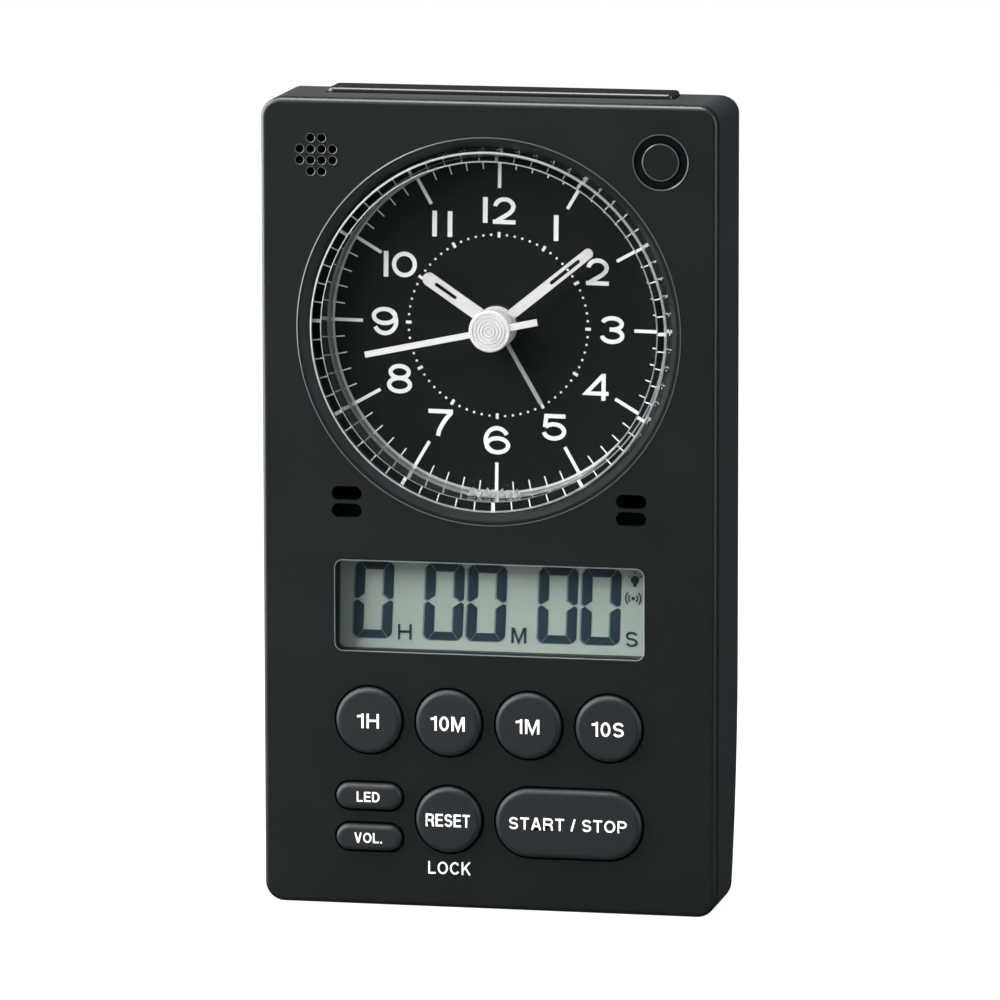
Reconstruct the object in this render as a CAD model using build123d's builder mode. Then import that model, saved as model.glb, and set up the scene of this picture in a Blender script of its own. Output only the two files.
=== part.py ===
from build123d import *
import os
from math import acos, atan2, cos, degrees, radians, sin

# Desk alarm clock: an analogue dial above an LCD countdown timer with eight keys.
# X runs to the right, Y to the back and Z up. The origin is on the floor, at the middle of
# the clock's box. A "depth" is measured backwards from the face of the front panel.

os.makedirs("parts", exist_ok=True)

# ---- Case ----
case_width = 75.0
case_height = 132.3
corner_radius = 3.2
wall = 1.8
panel_thickness = 2.0
panel_edge = 0.8
groove_depth = 0.4
groove_inset = 0.9
seam_depth = 13.0
rear_depth = 19.8
toe_depth = 13.6
taper_height = 40.0
rear_corner = 3.0
bulge_width = 60.0
bulge_top_gap = 10.3
bulge_top_edge = 2.5
case_post_reach = 7.0
fit_gap = 0.3
running_gap = 0.05

# ---- Dial and its clear cup ----
dial_centre_gap = 37.35
crystal_radius = 29.4
crystal_clearance = 0.55
recess_width = 1.55
recess_depth = 1.0
crystal_wall = 1.6
crystal_plate = 1.2
crystal_proud = 0.67
crystal_edge = 0.5
flange_width = 1.6
flange_thickness = 1.0
dial_depth = 8.57
dial_thickness = 0.8
carrier_wall = 1.7
carrier_floor = 1.0
ear_radius = 3.0
ear_overhang = 2.8
ear_angles = (58, 122, 238, 302)
ear_depth = 6.0
ear_thickness = 1.5
carrier_screw_length = 6.0
post_radius = 2.2
dial_led_width, dial_led_height, dial_led_length = 3.0, 1.6, 3.0
dial_led_gap = 0.2
dial_led_set_back = 1.4

# ---- Hands: length, width, and the height of the blade's top above the dial ----
hand_thickness = 0.4
hour_length, hour_width, hour_height, hour_angle = 14.6, 2.2, 1.6, 304.0
hour_slot_length, hour_slot_width, hour_slot_tip_gap = 4.3, 0.62, 2.3
minute_length, minute_width, minute_height, minute_angle = 20.9, 1.7, 3.6, 51.0
minute_slot_length, minute_slot_width, minute_slot_tip_gap = 6.3, 0.6, 2.6
second_length, second_width, second_height, second_angle = 21.1, 0.97, 7.0, 258.0
second_tail, second_tail_width = 8.0, 1.1
alarm_length, alarm_width, alarm_height, alarm_angle = 14.7, 0.63, 0.9, 150.0
hub_radius = 3.43
hub_top_height = 7.2
hub_thickness = 2.8
hub_rings = (0.5, 1.05, 1.6, 2.15, 2.7)
hub_ring_width = 0.22
hub_ring_depth = 0.12
hub_edge = 0.25
hour_boss_radius = 3.4
minute_boss_radius = 2.6
minute_boss_height = 1.0
alarm_boss_radius = 2.6

# ---- Display window, slots, sound holes and light ring ----
window_width = 51.5
window_height = 15.25
window_centre_z = 49.5
window_corner = 1.5
window_plate = 1.8
window_sink = 0.1
window_flange = 1.2
display_depth = 5.0
glass_thickness = 1.8
glass_margin_x, glass_margin_z = 1.2, 1.8
lcd_frame_wall = 1.5
lcd_frame_lip = 0.2
lcd_frame_corner = 1.0
strip_width = 2.0
strip_end_gap = 1.0
slot_length = 5.0
slot_width = 2.3
slot_x = 23.5
slot_drops = (26.98, 29.8)
corner_feature_inset = 9.2
corner_feature_gap = 9.1
lamp_hole_radius = 4.55
lamp_bore_radius = 3.2
lamp_lens_radius = 3.05
lamp_lens_edge = 0.3
lamp_ring_sink = 0.5
lamp_flange_width = 1.0
lamp_flange_thickness = 1.0
lamp_led_radius = 1.5
lamp_led_gap = 1.0
lamp_led_rim_width = 0.4
lamp_led_rim_gap = 1.0
lamp_led_dome = 1.2
sound_pitch = 1.81
sound_hole_radius = 0.66
speaker_radius = 6.4
speaker_thickness = 4.0
speaker_rim = 0.8
speaker_cap_radius = 2.0
speaker_cone_depth = 0.5

# ---- Keys ----
key_proud = 1.0
key_gap = 0.35
key_edge = 0.9
key_travel = 0.8
key_flange_width = 0.7
key_flange_thickness = 0.8
key_radius = 5.45
key_web = 0.25
key_row_web = 3.0
small_key_web = 0.35
lower_row_z = 14.7
start_length, start_height = 24.2, 11.35
small_key_length, small_key_height = 10.95, 4.35
stem_radius = 2.0
long_key_stem_radius = 1.6
press_gap = 0.1

# ---- Boards and switches ----
board_depth = 10.45
board_thickness = 1.2
board_width = 60.4
board_bottom, board_top = 3.2, 65.2
switch_size = 6.0
small_switch_height = 3.6
switch_body = 2.2
plunger_radius = 1.7
plunger_length = 0.5
board_screw_length = 4.0
board_screw_low_inset, board_screw_low_rise = 3.0, 2.4
board_screw_high_inset, board_screw_high_drop = 1.6, 2.2
chip_size, chip_height = 9.0, 1.4
resistor_length, resistor_width, resistor_height = 2.0, 1.2, 0.8
resistor_places = (-14.0, -10.0, 10.0, 14.0)
quartz_length, quartz_width, quartz_height, quartz_x = 7.0, 2.6, 2.4, 20.0
top_board_side_gap = 4.5
top_board_height = 11.0
top_board_gap = 5.0
snooze_switch_gap = 1.3
snooze_plunger_radius = 1.2

# ---- Snooze bar ----
bar_width = 57.0
bar_depth = 9.0
bar_thickness = 7.3
bar_proud = 0.8
bar_edge = 0.6
bar_corner = 1.0
bar_travel = 0.8
bar_skirt = 1.0
bar_skirt_growth = 1.2
bar_skirt_depth_growth = 1.0
bar_skirt_corner = 1.6
bar_post_radius = 1.4
bar_well_corner = 1.2

# ---- Movement: layers are depths, wheels are tooth counts and modules ----
movement_width = 49.0
movement_height = 36.0
movement_corner = 2.0
movement_plate = 1.4
movement_wall = 1.2
movement_inner_corner = 1.0
movement_post_inset = 2.6
movement_post_radius = 2.0
movement_screw_radius = 0.7
movement_screw_head_radius = 1.5
movement_screw_head = 0.9
movement_screw_length = 5.0
movement_screw_slot = (1.65, 0.4, 0.4)
movement_depth = 11.8
cover_thickness = 1.2
addendum, dedendum = 0.8, 1.05
root_share, tip_share = 0.26, 0.10
bushing_radius = 3.5
bushing_proud = 0.35
second_shaft_radius = 0.35
minute_pipe_wall = 0.35
hour_pipe_wall = 0.455
alarm_pipe_wall = 0.525
pinion_clearance = 0.2
pin_radius = 0.3
pin_boss_radius = 1.0
setting_pin_proud = 0.4
arbor_radius = 1.2
alarm_layer = (12.6, 13.3)
hour_layer = (14.0, 14.7)
setting_layer = (15.6, 16.3)
minute_layer = (17.2, 17.7)
third_layer = (18.7, 19.2)
second_layer = (20.1, 20.6)
intermediate_layer = (21.3, 21.7)
alarm_teeth, alarm_gear_teeth, alarm_module = 36, 24, 0.3
cannon_teeth, setting_teeth, setting_module = 12, 36, 0.3
hour_pinion_teeth, hour_teeth = 12, 48
knob_gear_teeth = 24
second_pinion_teeth, third_teeth = 8, 60
third_pinion_teeth, minute_teeth, minute_module = 10, 80, 0.18
intermediate_pinion_teeth, second_teeth, second_module = 12, 60, 0.22
rotor_teeth, intermediate_teeth, rotor_module = 10, 60, 0.18
alarm_arbor_direction = -35.0
third_direction = 95.0
intermediate_direction = 30.0
rotor_direction = 20.0
rotor_radius = 1.6
stator_thickness = 0.7
stator_spine = 6.0
stator_height = 27.0
stator_arm = 2.4
stator_gap = 0.5
coil_flange_width, coil_flange_thickness = 0.3, 0.8
coil_radius = 2.6
coil_length = 22.0
coil_offset = 6.0
core_width = 1.6

# ---- Rear controls ----
knob_proud = 1.0
knob_radius = 5.0
knob_edge = 0.4
knob_ribs = 24
knob_rib_radius = 0.35
pad_width, pad_height = 40.0, 24.0
well_width, well_height = 36.0, 20.0
well_depth = 2.7
well_corner = 2.0
pad_thickness = 2.0
alarm_switch_drop = 24.0
alarm_switch_travel = 3.0
thumb_width, thumb_height = 4.0, 3.4
thumb_proud = 0.6
thumb_flange_x, thumb_flange_z, thumb_flange_thickness = 2.0, 1.5, 1.0
thumb_groove_width, thumb_groove_pitch, thumb_groove_depth = 0.5, 1.2, 0.4

# ---- Batteries ----
cell_radius = 7.1
cell_length = 49.2
cell_nub_radius = 2.75
cell_nub_length = 1.3
cell_spacing = 1.1
cell_clearance = 0.1
bay_bottom = 3.3
bay_width = 56.0
bay_wall = 1.0
door_thickness = 1.1
door_side_gap = 1.3
door_ledge = 0.6
door_corner = 1.0
door_edge = 0.3
door_grooves = 5
door_groove_length, door_groove_width, door_groove_depth = 12.0, 0.6, 0.4
door_groove_gap, door_groove_pitch = 3.0, 1.4
spring_radius = 2.6
spring_wire = 0.3
spring_length = 3.6
spring_turns = 4
contact_thickness = 0.4
contact_size = 10.0

# ---- Screws ----
case_screw_inset = 3.9
case_screw_low_z = 30.0
case_screw_top_gap = 22.3
case_post_radius = 3.2
case_screw_length = 9.0
screw_shank_radius = 1.0
screw_head_radius = 2.0
screw_head = 1.3
cross_width, cross_length, cross_depth = 0.5, 2.2, 0.6

# ---- Places worked out from the sizes above ----
bay_floor = seam_depth + fit_gap + bay_wall
bulge_depth = bay_floor + cell_clearance + 2 * cell_radius + fit_gap + door_thickness
overall_depth = key_proud + bulge_depth + knob_proud
front_y = key_proud - overall_depth / 2
dial_z = case_height - dial_centre_gap
dial_opening_radius = crystal_radius + crystal_clearance
recess_radius = dial_opening_radius + recess_width
corner_feature_x = case_width / 2 - corner_feature_inset
dial_back = dial_depth + dial_thickness
movement_front = dial_back + carrier_floor
corner_feature_z = case_height - corner_feature_gap
bulge_top = case_height - bulge_top_gap
crystal_bore = crystal_radius - crystal_wall
carrier_bore = crystal_radius + fit_gap
carrier_radius = carrier_bore + carrier_wall
ear_ring_radius = carrier_radius + ear_overhang
movement_back = movement_front + movement_depth
well_floor = bulge_depth - well_depth
minute_shaft_radius = second_shaft_radius + running_gap + minute_pipe_wall
hour_pipe_radius = minute_shaft_radius + running_gap + hour_pipe_wall
alarm_pipe_radius = hour_pipe_radius + running_gap + alarm_pipe_wall
setting_distance = (cannon_teeth + setting_teeth) * setting_module / 2
hour_module = 2 * setting_distance / (hour_pinion_teeth + hour_teeth)
arbor_distance = (alarm_teeth + alarm_gear_teeth) * alarm_module / 2
knob_mesh_distance = (setting_teeth + knob_gear_teeth) * setting_module / 2
third_distance = (third_pinion_teeth + minute_teeth) * minute_module / 2
third_module = 2 * third_distance / (second_pinion_teeth + third_teeth)
intermediate_distance = (intermediate_pinion_teeth + second_teeth) * second_module / 2
rotor_distance = (rotor_teeth + intermediate_teeth) * rotor_module / 2
time_arbor_direction = 180 - alarm_arbor_direction
setting_spread = degrees(acos((setting_distance ** 2 + arbor_distance ** 2 - knob_mesh_distance ** 2)
                              / (2 * setting_distance * arbor_distance)))
setting_direction = time_arbor_direction - setting_spread


def from_centre(origin, distance, direction):
    """Point at a distance and a direction in degrees from another, seen from the front."""
    return (origin[0] + distance * cos(radians(direction)), origin[1] + distance * sin(radians(direction)))


dial_centre = (0, dial_z)
setting_centre = from_centre(dial_centre, setting_distance, setting_direction)
alarm_arbor = from_centre(dial_centre, arbor_distance, alarm_arbor_direction)
time_arbor = from_centre(dial_centre, arbor_distance, time_arbor_direction)
third_centre = from_centre(dial_centre, third_distance, third_direction)
intermediate_centre = from_centre(dial_centre, intermediate_distance, intermediate_direction)
rotor_centre = from_centre(intermediate_centre, rotor_distance, rotor_direction)
stator_x = rotor_centre[0]
coil_x = stator_x + coil_offset
alarm_switch_z = dial_z - alarm_switch_drop
case_screw_x = case_width / 2 - case_screw_inset
case_screw_places = [(side * case_screw_x, z) for side in (-1, 1)
                     for z in (case_screw_low_z, case_height - case_screw_top_gap)]
ear_places = [from_centre(dial_centre, ear_ring_radius, angle) for angle in ear_angles]
board_screw_low = (board_width / 2 - board_screw_low_inset, board_bottom + board_screw_low_rise)
board_screw_high = (board_width / 2 - board_screw_high_inset, board_top - board_screw_high_drop)
board_screw_places = [(side * x, z) for side in (-1, 1) for x, z in (board_screw_low, board_screw_high)]
movement_corners = [(side * (movement_width / 2 - movement_post_inset),
                     dial_z + up * (movement_height / 2 - movement_post_inset))
                    for side in (-1, 1) for up in (-1, 1)]
key_skirt = key_gap + key_flange_width
key_pitch = 2 * (key_radius + key_skirt) + key_web
key_row_z = lower_row_z + 2 * (key_radius + key_skirt) + key_row_web
reset_x = -0.5 * key_pitch
start_x = reset_x + key_radius + 2 * key_skirt + key_web + start_length / 2
small_key_x = reset_x - key_radius - 2 * key_skirt - key_web - small_key_length / 2
small_key_rise = (small_key_height + 2 * key_skirt + small_key_web) / 2
round_keys = {
    "key_hour": (-1.5 * key_pitch, key_row_z),
    "key_ten_minutes": (-0.5 * key_pitch, key_row_z),
    "key_minute": (0.5 * key_pitch, key_row_z),
    "key_ten_seconds": (1.5 * key_pitch, key_row_z),
    "key_reset": (reset_x, lower_row_z),
}
long_keys = {
    "key_start_stop": ((start_x, lower_row_z), start_length, start_height),
    "key_led": ((small_key_x, lower_row_z + small_key_rise), small_key_length, small_key_height),
    "key_volume": ((small_key_x, lower_row_z - small_key_rise), small_key_length, small_key_height),
}
key_places = list(round_keys.values()) + [place for place, length, height in long_keys.values()]
cell_depth = bay_floor + cell_clearance + cell_radius
lowest_cell_z = bay_bottom + bay_wall + cell_radius
cell_heights = (lowest_cell_z, lowest_cell_z + 2 * cell_radius + cell_spacing)
bay_top = cell_heights[1] + cell_radius + bay_wall
bay_centre_z = (bay_bottom + bay_top) / 2
bay_height = bay_top - bay_bottom
door_width = bay_width - 2 * door_side_gap
door_height = bay_height - 2 * bay_wall


def front(depth):
    """Plane that faces the viewer, at a depth behind the front panel's face."""
    return Plane.XZ.offset(-(front_y + depth))


def disc(radius, centre, start, end, bore=0.0, mode=Mode.ADD):
    """Adds or cuts a disc or a ring between two depths."""
    with BuildSketch(front(start)) as outline:
        with Locations(centre):
            Circle(radius)
            if bore:
                Circle(bore, mode=Mode.SUBTRACT)
    extrude(outline.sketch, amount=start - end, mode=mode)


def plate(width, height, centre, start, end, corner=0.0, mode=Mode.ADD):
    """Adds or cuts a flat block between two depths, with round corners if it has any."""
    with BuildSketch(front(start)) as outline:
        with Locations(centre):
            if corner:
                RectangleRounded(width, height, corner)
            else:
                Rectangle(width, height)
    extrude(outline.sketch, amount=start - end, mode=mode)


def stadium(length, height, centre, start, end, mode=Mode.ADD):
    """Adds or cuts a block with half-round ends between two depths."""
    with BuildSketch(front(start)) as outline:
        with Locations(centre):
            SlotOverall(length, height)
    extrude(outline.sketch, amount=start - end, mode=mode)


def toothed(teeth, module, phase, centre, layer, bore=0.0):
    """Adds a toothed disc with straight flanks, one tooth centred at the phase angle."""
    pitch_radius = teeth * module / 2
    tip = pitch_radius + addendum * module
    root = pitch_radius - dedendum * module
    corners = []
    for number in range(teeth):
        for radius, share in ((root, -root_share), (tip, -tip_share), (tip, tip_share), (root, root_share)):
            corners.append(from_centre(centre, radius, phase + (number + share) * 360 / teeth))
    with BuildSketch(front(layer[0])) as outline:
        with BuildLine():
            Polyline(*corners, close=True)
        make_face()
        if bore:
            with Locations(centre):
                Circle(bore, mode=Mode.SUBTRACT)
    extrude(outline.sketch, amount=layer[0] - layer[1])


def meshed_phase(teeth, phase, direction, mate_teeth):
    """Phase of a mate that lies in a direction from a gear, so that its gap meets a tooth."""
    turned = (direction - phase) % (360 / teeth)
    return direction + 180 + turned * teeth / mate_teeth + 180 / mate_teeth


def blade_plane(height, angle):
    """Plane on the dial axis at a height above the dial, with X along a hand at a clock angle."""
    along = (sin(radians(angle)), 0, cos(radians(angle)))
    return Plane(origin=(0, front_y + dial_depth - height, dial_z), x_dir=along, z_dir=(0, -1, 0))


def blade(length, width, height, angle, slot=None):
    """Adds a round-tipped hand, with a slot near the tip if it has one."""
    with BuildSketch(blade_plane(height, angle)) as outline:
        with Locations(((length - width / 2) / 2, 0)):
            Rectangle(length - width / 2, width)
        with Locations((length - width / 2, 0)):
            Circle(width / 2)
        if slot:
            slot_size, slot_across, tip_gap = slot
            with Locations((length - tip_gap - slot_size / 2, 0)):
                SlotOverall(slot_size, slot_across, mode=Mode.SUBTRACT)
    extrude(outline.sketch, amount=-hand_thickness)


def screws(places, head_depth, length, label):
    """Group of cross-head screws driven from the back, with their heads' backs at a depth."""
    with BuildPart() as group:
        for place in places:
            disc(screw_head_radius, place, head_depth - screw_head, head_depth)
            disc(screw_shank_radius, place, head_depth - length, head_depth - screw_head)
            for across, up in ((cross_length, cross_width), (cross_width, cross_length)):
                plate(across, up, place, head_depth - cross_depth, head_depth, mode=Mode.SUBTRACT)
    group.part.label = label
    export_step(group.part, f"parts/{label}.step")


def rear_form(inset):
    """Form of the rear shell: a slim back that tapers to the foot, and a deep block behind it."""
    back = front_y + rear_depth - inset
    with BuildPart() as form:
        with BuildSketch(Plane.YZ) as side:
            with BuildLine():
                toe = front_y + toe_depth - inset
                Line((front_y, inset), (toe, inset))
                TangentArc((back, taper_height), (toe, inset), tangent=(0, -1))
                Line((back, taper_height), (back, case_height - rear_corner))
                RadiusArc((back, case_height - rear_corner),
                          (back - rear_corner + inset, case_height - inset), -(rear_corner - inset))
                Line((back - rear_corner + inset, case_height - inset), (front_y, case_height - inset))
                Line((front_y, case_height - inset), (front_y, inset))
            make_face()
        extrude(amount=case_width / 2, both=True)
        with BuildSketch(front(seam_depth)) as outline:
            with Locations((0, case_height / 2)):
                RectangleRounded(case_width - 2 * inset, case_height - 2 * inset, corner_radius - inset / 2)
        extrude(outline.sketch, amount=seam_depth - rear_depth, mode=Mode.INTERSECT)
        with BuildSketch() as plan:
            with Locations((0, front_y)):
                RectangleRounded(case_width - 2 * inset, 2 * (rear_depth - inset), rear_corner - inset / 2)
        extrude(plan.sketch, amount=case_height, mode=Mode.INTERSECT)
    with BuildPart() as block:
        with BuildSketch(Plane.XY.offset(inset)) as block_plan:
            with Locations((0, front_y)):
                RectangleRounded(bulge_width - 2 * inset, 2 * (bulge_depth - inset), rear_corner)
            with Locations((0, front_y + seam_depth - case_height)):
                Rectangle(2 * case_width, 2 * case_height, mode=Mode.SUBTRACT)
        extrude(amount=bulge_top - 2 * inset)
        fillet(block.edges().group_by(Axis.Z)[-1].sort_by(Axis.Y)[-1], bulge_top_edge)
    return form.part + block.part


# ---- Front panel ----
# Moulded plate with the dial recess, display opening, key holes and corner features.
with BuildPart() as front_panel:
    plate(case_width, case_height, (0, case_height / 2), 0, panel_thickness, corner_radius)
    fillet(front_panel.edges().group_by(Axis.Y)[0], panel_edge)
    disc(dial_opening_radius, dial_centre, 0, panel_thickness, mode=Mode.SUBTRACT)
    chamfer(front_panel.edges().filter_by(GeomType.CIRCLE).group_by(Axis.Y)[0].sort_by(SortBy.RADIUS)[-1],
            recess_depth, recess_radius - dial_opening_radius,
            reference=front_panel.faces().sort_by(Axis.Y)[0])
    plate(window_width, window_height, (0, window_centre_z), 0, panel_thickness, window_corner, Mode.SUBTRACT)
    for place in round_keys.values():
        disc(key_radius + key_gap, place, 0, panel_thickness, mode=Mode.SUBTRACT)
    for place, length, height in long_keys.values():
        stadium(length + 2 * key_gap, height + 2 * key_gap, place, 0, panel_thickness, Mode.SUBTRACT)
    disc(lamp_hole_radius, (corner_feature_x, corner_feature_z), 0, panel_thickness, mode=Mode.SUBTRACT)
    for column in range(4):
        for row in range(4):
            if (column in (1, 2)) or (row in (1, 2)):
                hole = ((column - 1.5) * sound_pitch - corner_feature_x, corner_feature_z + (row - 1.5) * sound_pitch)
                disc(sound_hole_radius, hole, 0, panel_thickness, mode=Mode.SUBTRACT)
    for side in (-1, 1):
        for drop in slot_drops:
            stadium(slot_length, slot_width, (side * slot_x, dial_z - drop), 0, panel_thickness, Mode.SUBTRACT)
    for place in ear_places:
        disc(post_radius, place, panel_thickness, ear_depth, bore=screw_shank_radius)
    for place in board_screw_places:
        disc(post_radius, place, panel_thickness, board_depth, bore=screw_shank_radius)
front_panel.part.label = "front_panel"
export_step(front_panel.part, "parts/front_panel.step")

# ---- Front case ----
# Rim that carries the panel; a shallow groove separates the two all round.
with BuildPart() as front_case:
    plate(case_width - 2 * groove_inset, case_height - 2 * groove_inset, (0, case_height / 2),
          panel_thickness, panel_thickness + groove_depth, corner_radius - groove_inset)
    plate(case_width, case_height, (0, case_height / 2), panel_thickness + groove_depth, seam_depth, corner_radius)
    plate(case_width - 2 * wall, case_height - 2 * wall, (0, case_height / 2), panel_thickness, seam_depth,
          corner_radius - wall, Mode.SUBTRACT)
    for place in case_screw_places:
        disc(case_post_radius, place, seam_depth - case_post_reach, seam_depth, bore=screw_shank_radius)
    with BuildSketch(Plane.XY.offset(case_height - 1.5 * wall)) as well:
        with Locations((0, front_y + bar_depth + bar_thickness / 2)):
            RectangleRounded(bar_width + 2 * fit_gap, bar_thickness + 2 * fit_gap, bar_well_corner)
    extrude(well.sketch, amount=2 * wall, mode=Mode.SUBTRACT)
front_case.part.label = "front_case"
export_step(front_case.part, "parts/front_case.step")

# ---- Rear case ----
# Back shell with the battery bay, the well of the two setting knobs and the alarm switch slot.
with BuildPart() as rear_case:
    add(rear_form(0) - rear_form(wall))
    plate(bay_width + 2 * bay_wall, bay_height, (0, bay_centre_z), seam_depth + fit_gap, bulge_depth - wall / 2)
    plate(bay_width, bay_height - 2 * bay_wall, (0, bay_centre_z), bay_floor, bulge_depth - wall, mode=Mode.SUBTRACT)
    plate(door_width - 2 * door_ledge, door_height - 2 * door_ledge, (0, bay_centre_z), bulge_depth - 2 * wall,
          bulge_depth, mode=Mode.SUBTRACT)
    plate(door_width + 2 * fit_gap, door_height + 2 * fit_gap, (0, bay_centre_z),
          bulge_depth - door_thickness - fit_gap / 2, bulge_depth, door_corner, Mode.SUBTRACT)
    plate(pad_width, pad_height, (0, alarm_arbor[1]), well_floor - pad_thickness, bulge_depth - wall / 2)
    plate(well_width, well_height, (0, alarm_arbor[1]), well_floor, bulge_depth, well_corner, Mode.SUBTRACT)
    for place in (alarm_arbor, time_arbor):
        disc(arbor_radius + running_gap, place, well_floor - 2 * pad_thickness, bulge_depth, mode=Mode.SUBTRACT)
    plate(thumb_width + alarm_switch_travel + 2 * fit_gap, thumb_height + 2 * fit_gap,
          (alarm_switch_travel / 2, alarm_switch_z), bulge_depth - 2 * wall, bulge_depth, mode=Mode.SUBTRACT)
    for place in case_screw_places:
        disc(case_post_radius, place, seam_depth, rear_depth)
    add(rear_form(0), mode=Mode.INTERSECT)
    for place in case_screw_places:
        disc(screw_shank_radius, place, seam_depth, rear_depth, mode=Mode.SUBTRACT)
        disc(screw_head_radius + fit_gap, place, rear_depth - 2 * wall, rear_depth, mode=Mode.SUBTRACT)
    with BuildSketch(Plane.XY.offset(case_height - 1.5 * wall)) as well:
        with Locations((0, front_y + bar_depth + bar_thickness / 2)):
            RectangleRounded(bar_width + 2 * fit_gap, bar_thickness + 2 * fit_gap, bar_well_corner)
    extrude(well.sketch, amount=2 * wall, mode=Mode.SUBTRACT)
rear_case.part.label = "rear_case"
export_step(rear_case.part, "parts/rear_case.step")

# ---- Battery door ----
# Flush cover with a finger ridge; it lifts straight off its ledge.
with BuildPart() as battery_door:
    plate(door_width, door_height, (0, bay_centre_z), bulge_depth - door_thickness, bulge_depth, door_corner)
    fillet(battery_door.edges().group_by(Axis.Y)[-1], door_edge)
    for line in range(door_grooves):
        groove_z = bay_centre_z + door_height / 2 - door_groove_gap - door_groove_pitch * line
        plate(door_groove_length, door_groove_width, (0, groove_z), bulge_depth - door_groove_depth, bulge_depth,
              mode=Mode.SUBTRACT)
battery_door.part.label = "battery_door"
export_step(battery_door.part, "parts/battery_door.step")

# ---- Snooze bar ----
# Long bar in the top of the case, held down from inside by its skirt.
bar_under = case_height - wall - fit_gap
top_board_top = case_height - top_board_gap
top_board_width = case_width - 2 * top_board_side_gap
snooze_switch_top = top_board_top - snooze_switch_gap
with BuildPart() as snooze_bar:
    with BuildSketch(Plane.XY.offset(bar_under)) as cap:
        with Locations((0, front_y + bar_depth + bar_thickness / 2)):
            RectangleRounded(bar_width, bar_thickness, bar_corner)
    extrude(cap.sketch, amount=case_height + bar_proud - bar_under)
    fillet(snooze_bar.edges().group_by(Axis.Z)[-1], bar_edge)
    with BuildSketch(Plane.XY.offset(bar_under)) as skirt:
        with Locations((0, front_y + bar_depth + bar_thickness / 2)):
            RectangleRounded(bar_width + 2 * bar_skirt_growth, bar_thickness + 2 * bar_skirt_depth_growth,
                             bar_skirt_corner)
    extrude(skirt.sketch, amount=-bar_skirt)
    with BuildSketch(Plane.XY.offset(bar_under - bar_skirt)) as post:
        with Locations((0, front_y + board_depth + board_thickness + switch_size / 2)):
            Circle(bar_post_radius)
    post_end = snooze_switch_top + plunger_length + bar_travel + press_gap
    extrude(post.sketch, amount=post_end - (bar_under - bar_skirt))
snooze_bar.part.label = "snooze_bar"
export_step(snooze_bar.part, "parts/snooze_bar.step")

# ---- Crystal ----
# Clear cup over the hands. Its flange sits behind the panel and its rim rests on the dial.
with BuildPart() as crystal:
    disc(crystal_radius, dial_centre, -crystal_proud, dial_depth)
    fillet(crystal.edges().group_by(Axis.Y)[0], crystal_edge)
    disc(crystal_bore, dial_centre, crystal_plate - crystal_proud, dial_depth, mode=Mode.SUBTRACT)
    disc(crystal_radius + flange_width, dial_centre, panel_thickness, panel_thickness + flange_thickness,
         bore=crystal_bore)
crystal.part.label = "crystal"
export_step(crystal.part, "parts/crystal.step")

# ---- Dial ----
with BuildPart() as dial:
    disc(carrier_bore - running_gap, dial_centre, dial_depth, dial_back, bore=bushing_radius + running_gap)
dial.part.label = "dial"
export_step(dial.part, "parts/dial.step")

# ---- Dial carrier ----
# Cup behind the panel: it clamps the crystal's flange, seats the dial and carries the movement.
with BuildPart() as dial_carrier:
    disc(carrier_radius, dial_centre, panel_thickness + flange_thickness, movement_front, bore=carrier_bore)
    disc(carrier_radius, dial_centre, dial_back, movement_front, bore=bushing_radius + running_gap)
    for place in ear_places:
        disc(ear_radius, place, ear_depth, ear_depth + ear_thickness)
    disc(carrier_bore, dial_centre, panel_thickness, dial_back, mode=Mode.SUBTRACT)
    for place in ear_places:
        disc(screw_shank_radius + running_gap, place, ear_depth, ear_depth + ear_thickness, mode=Mode.SUBTRACT)
dial_carrier.part.label = "dial_carrier"
export_step(dial_carrier.part, "parts/dial_carrier.step")
screws(ear_places, ear_depth + ear_thickness + screw_head, carrier_screw_length, "carrier_screws")

# ---- Dial lights ----
# Small lamps behind the rim that light the dial through the cup's prism and its sides.
with BuildPart() as dial_leds:
    for angle in (90, 270):
        place = from_centre(dial_centre, carrier_radius + dial_led_gap + dial_led_height / 2, angle)
        plate(dial_led_width, dial_led_height, place, panel_thickness + dial_led_set_back,
              panel_thickness + dial_led_set_back + dial_led_length)
dial_leds.part.label = "dial_leds"
export_step(dial_leds.part, "parts/dial_leds.step")

# ---- Hands ----
second_boss_front = dial_depth - hub_top_height
with BuildPart() as second_hand:
    disc(hub_radius, dial_centre, second_boss_front, second_boss_front + hub_thickness)
    fillet(second_hand.edges().group_by(Axis.Y)[0], hub_edge)
    for ring_radius in hub_rings:
        disc(ring_radius + hub_ring_width / 2, dial_centre, second_boss_front, second_boss_front + hub_ring_depth,
             bore=ring_radius - hub_ring_width / 2, mode=Mode.SUBTRACT)
    with BuildSketch(blade_plane(second_height, second_angle)) as outline:
        with Locations((second_length / 2, 0)):
            Rectangle(second_length, second_width)
        with Locations((-second_tail / 2, 0)):
            Rectangle(second_tail, second_tail_width)
    extrude(outline.sketch, amount=-hand_thickness)
    disc(second_shaft_radius, dial_centre, second_boss_front + hub_thickness / 2,
         second_boss_front + hub_thickness, mode=Mode.SUBTRACT)
second_hand.part.label = "second_hand"
export_step(second_hand.part, "parts/second_hand.step")

minute_top = dial_depth - minute_height
with BuildPart() as minute_hand:
    blade(minute_length, minute_width, minute_height, minute_angle,
          (minute_slot_length, minute_slot_width, minute_slot_tip_gap))
    disc(minute_boss_radius, dial_centre, minute_top, minute_top + minute_boss_height)
    disc(minute_shaft_radius, dial_centre, minute_top, minute_top + minute_boss_height, mode=Mode.SUBTRACT)
minute_hand.part.label = "minute_hand"
export_step(minute_hand.part, "parts/minute_hand.step")

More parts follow.
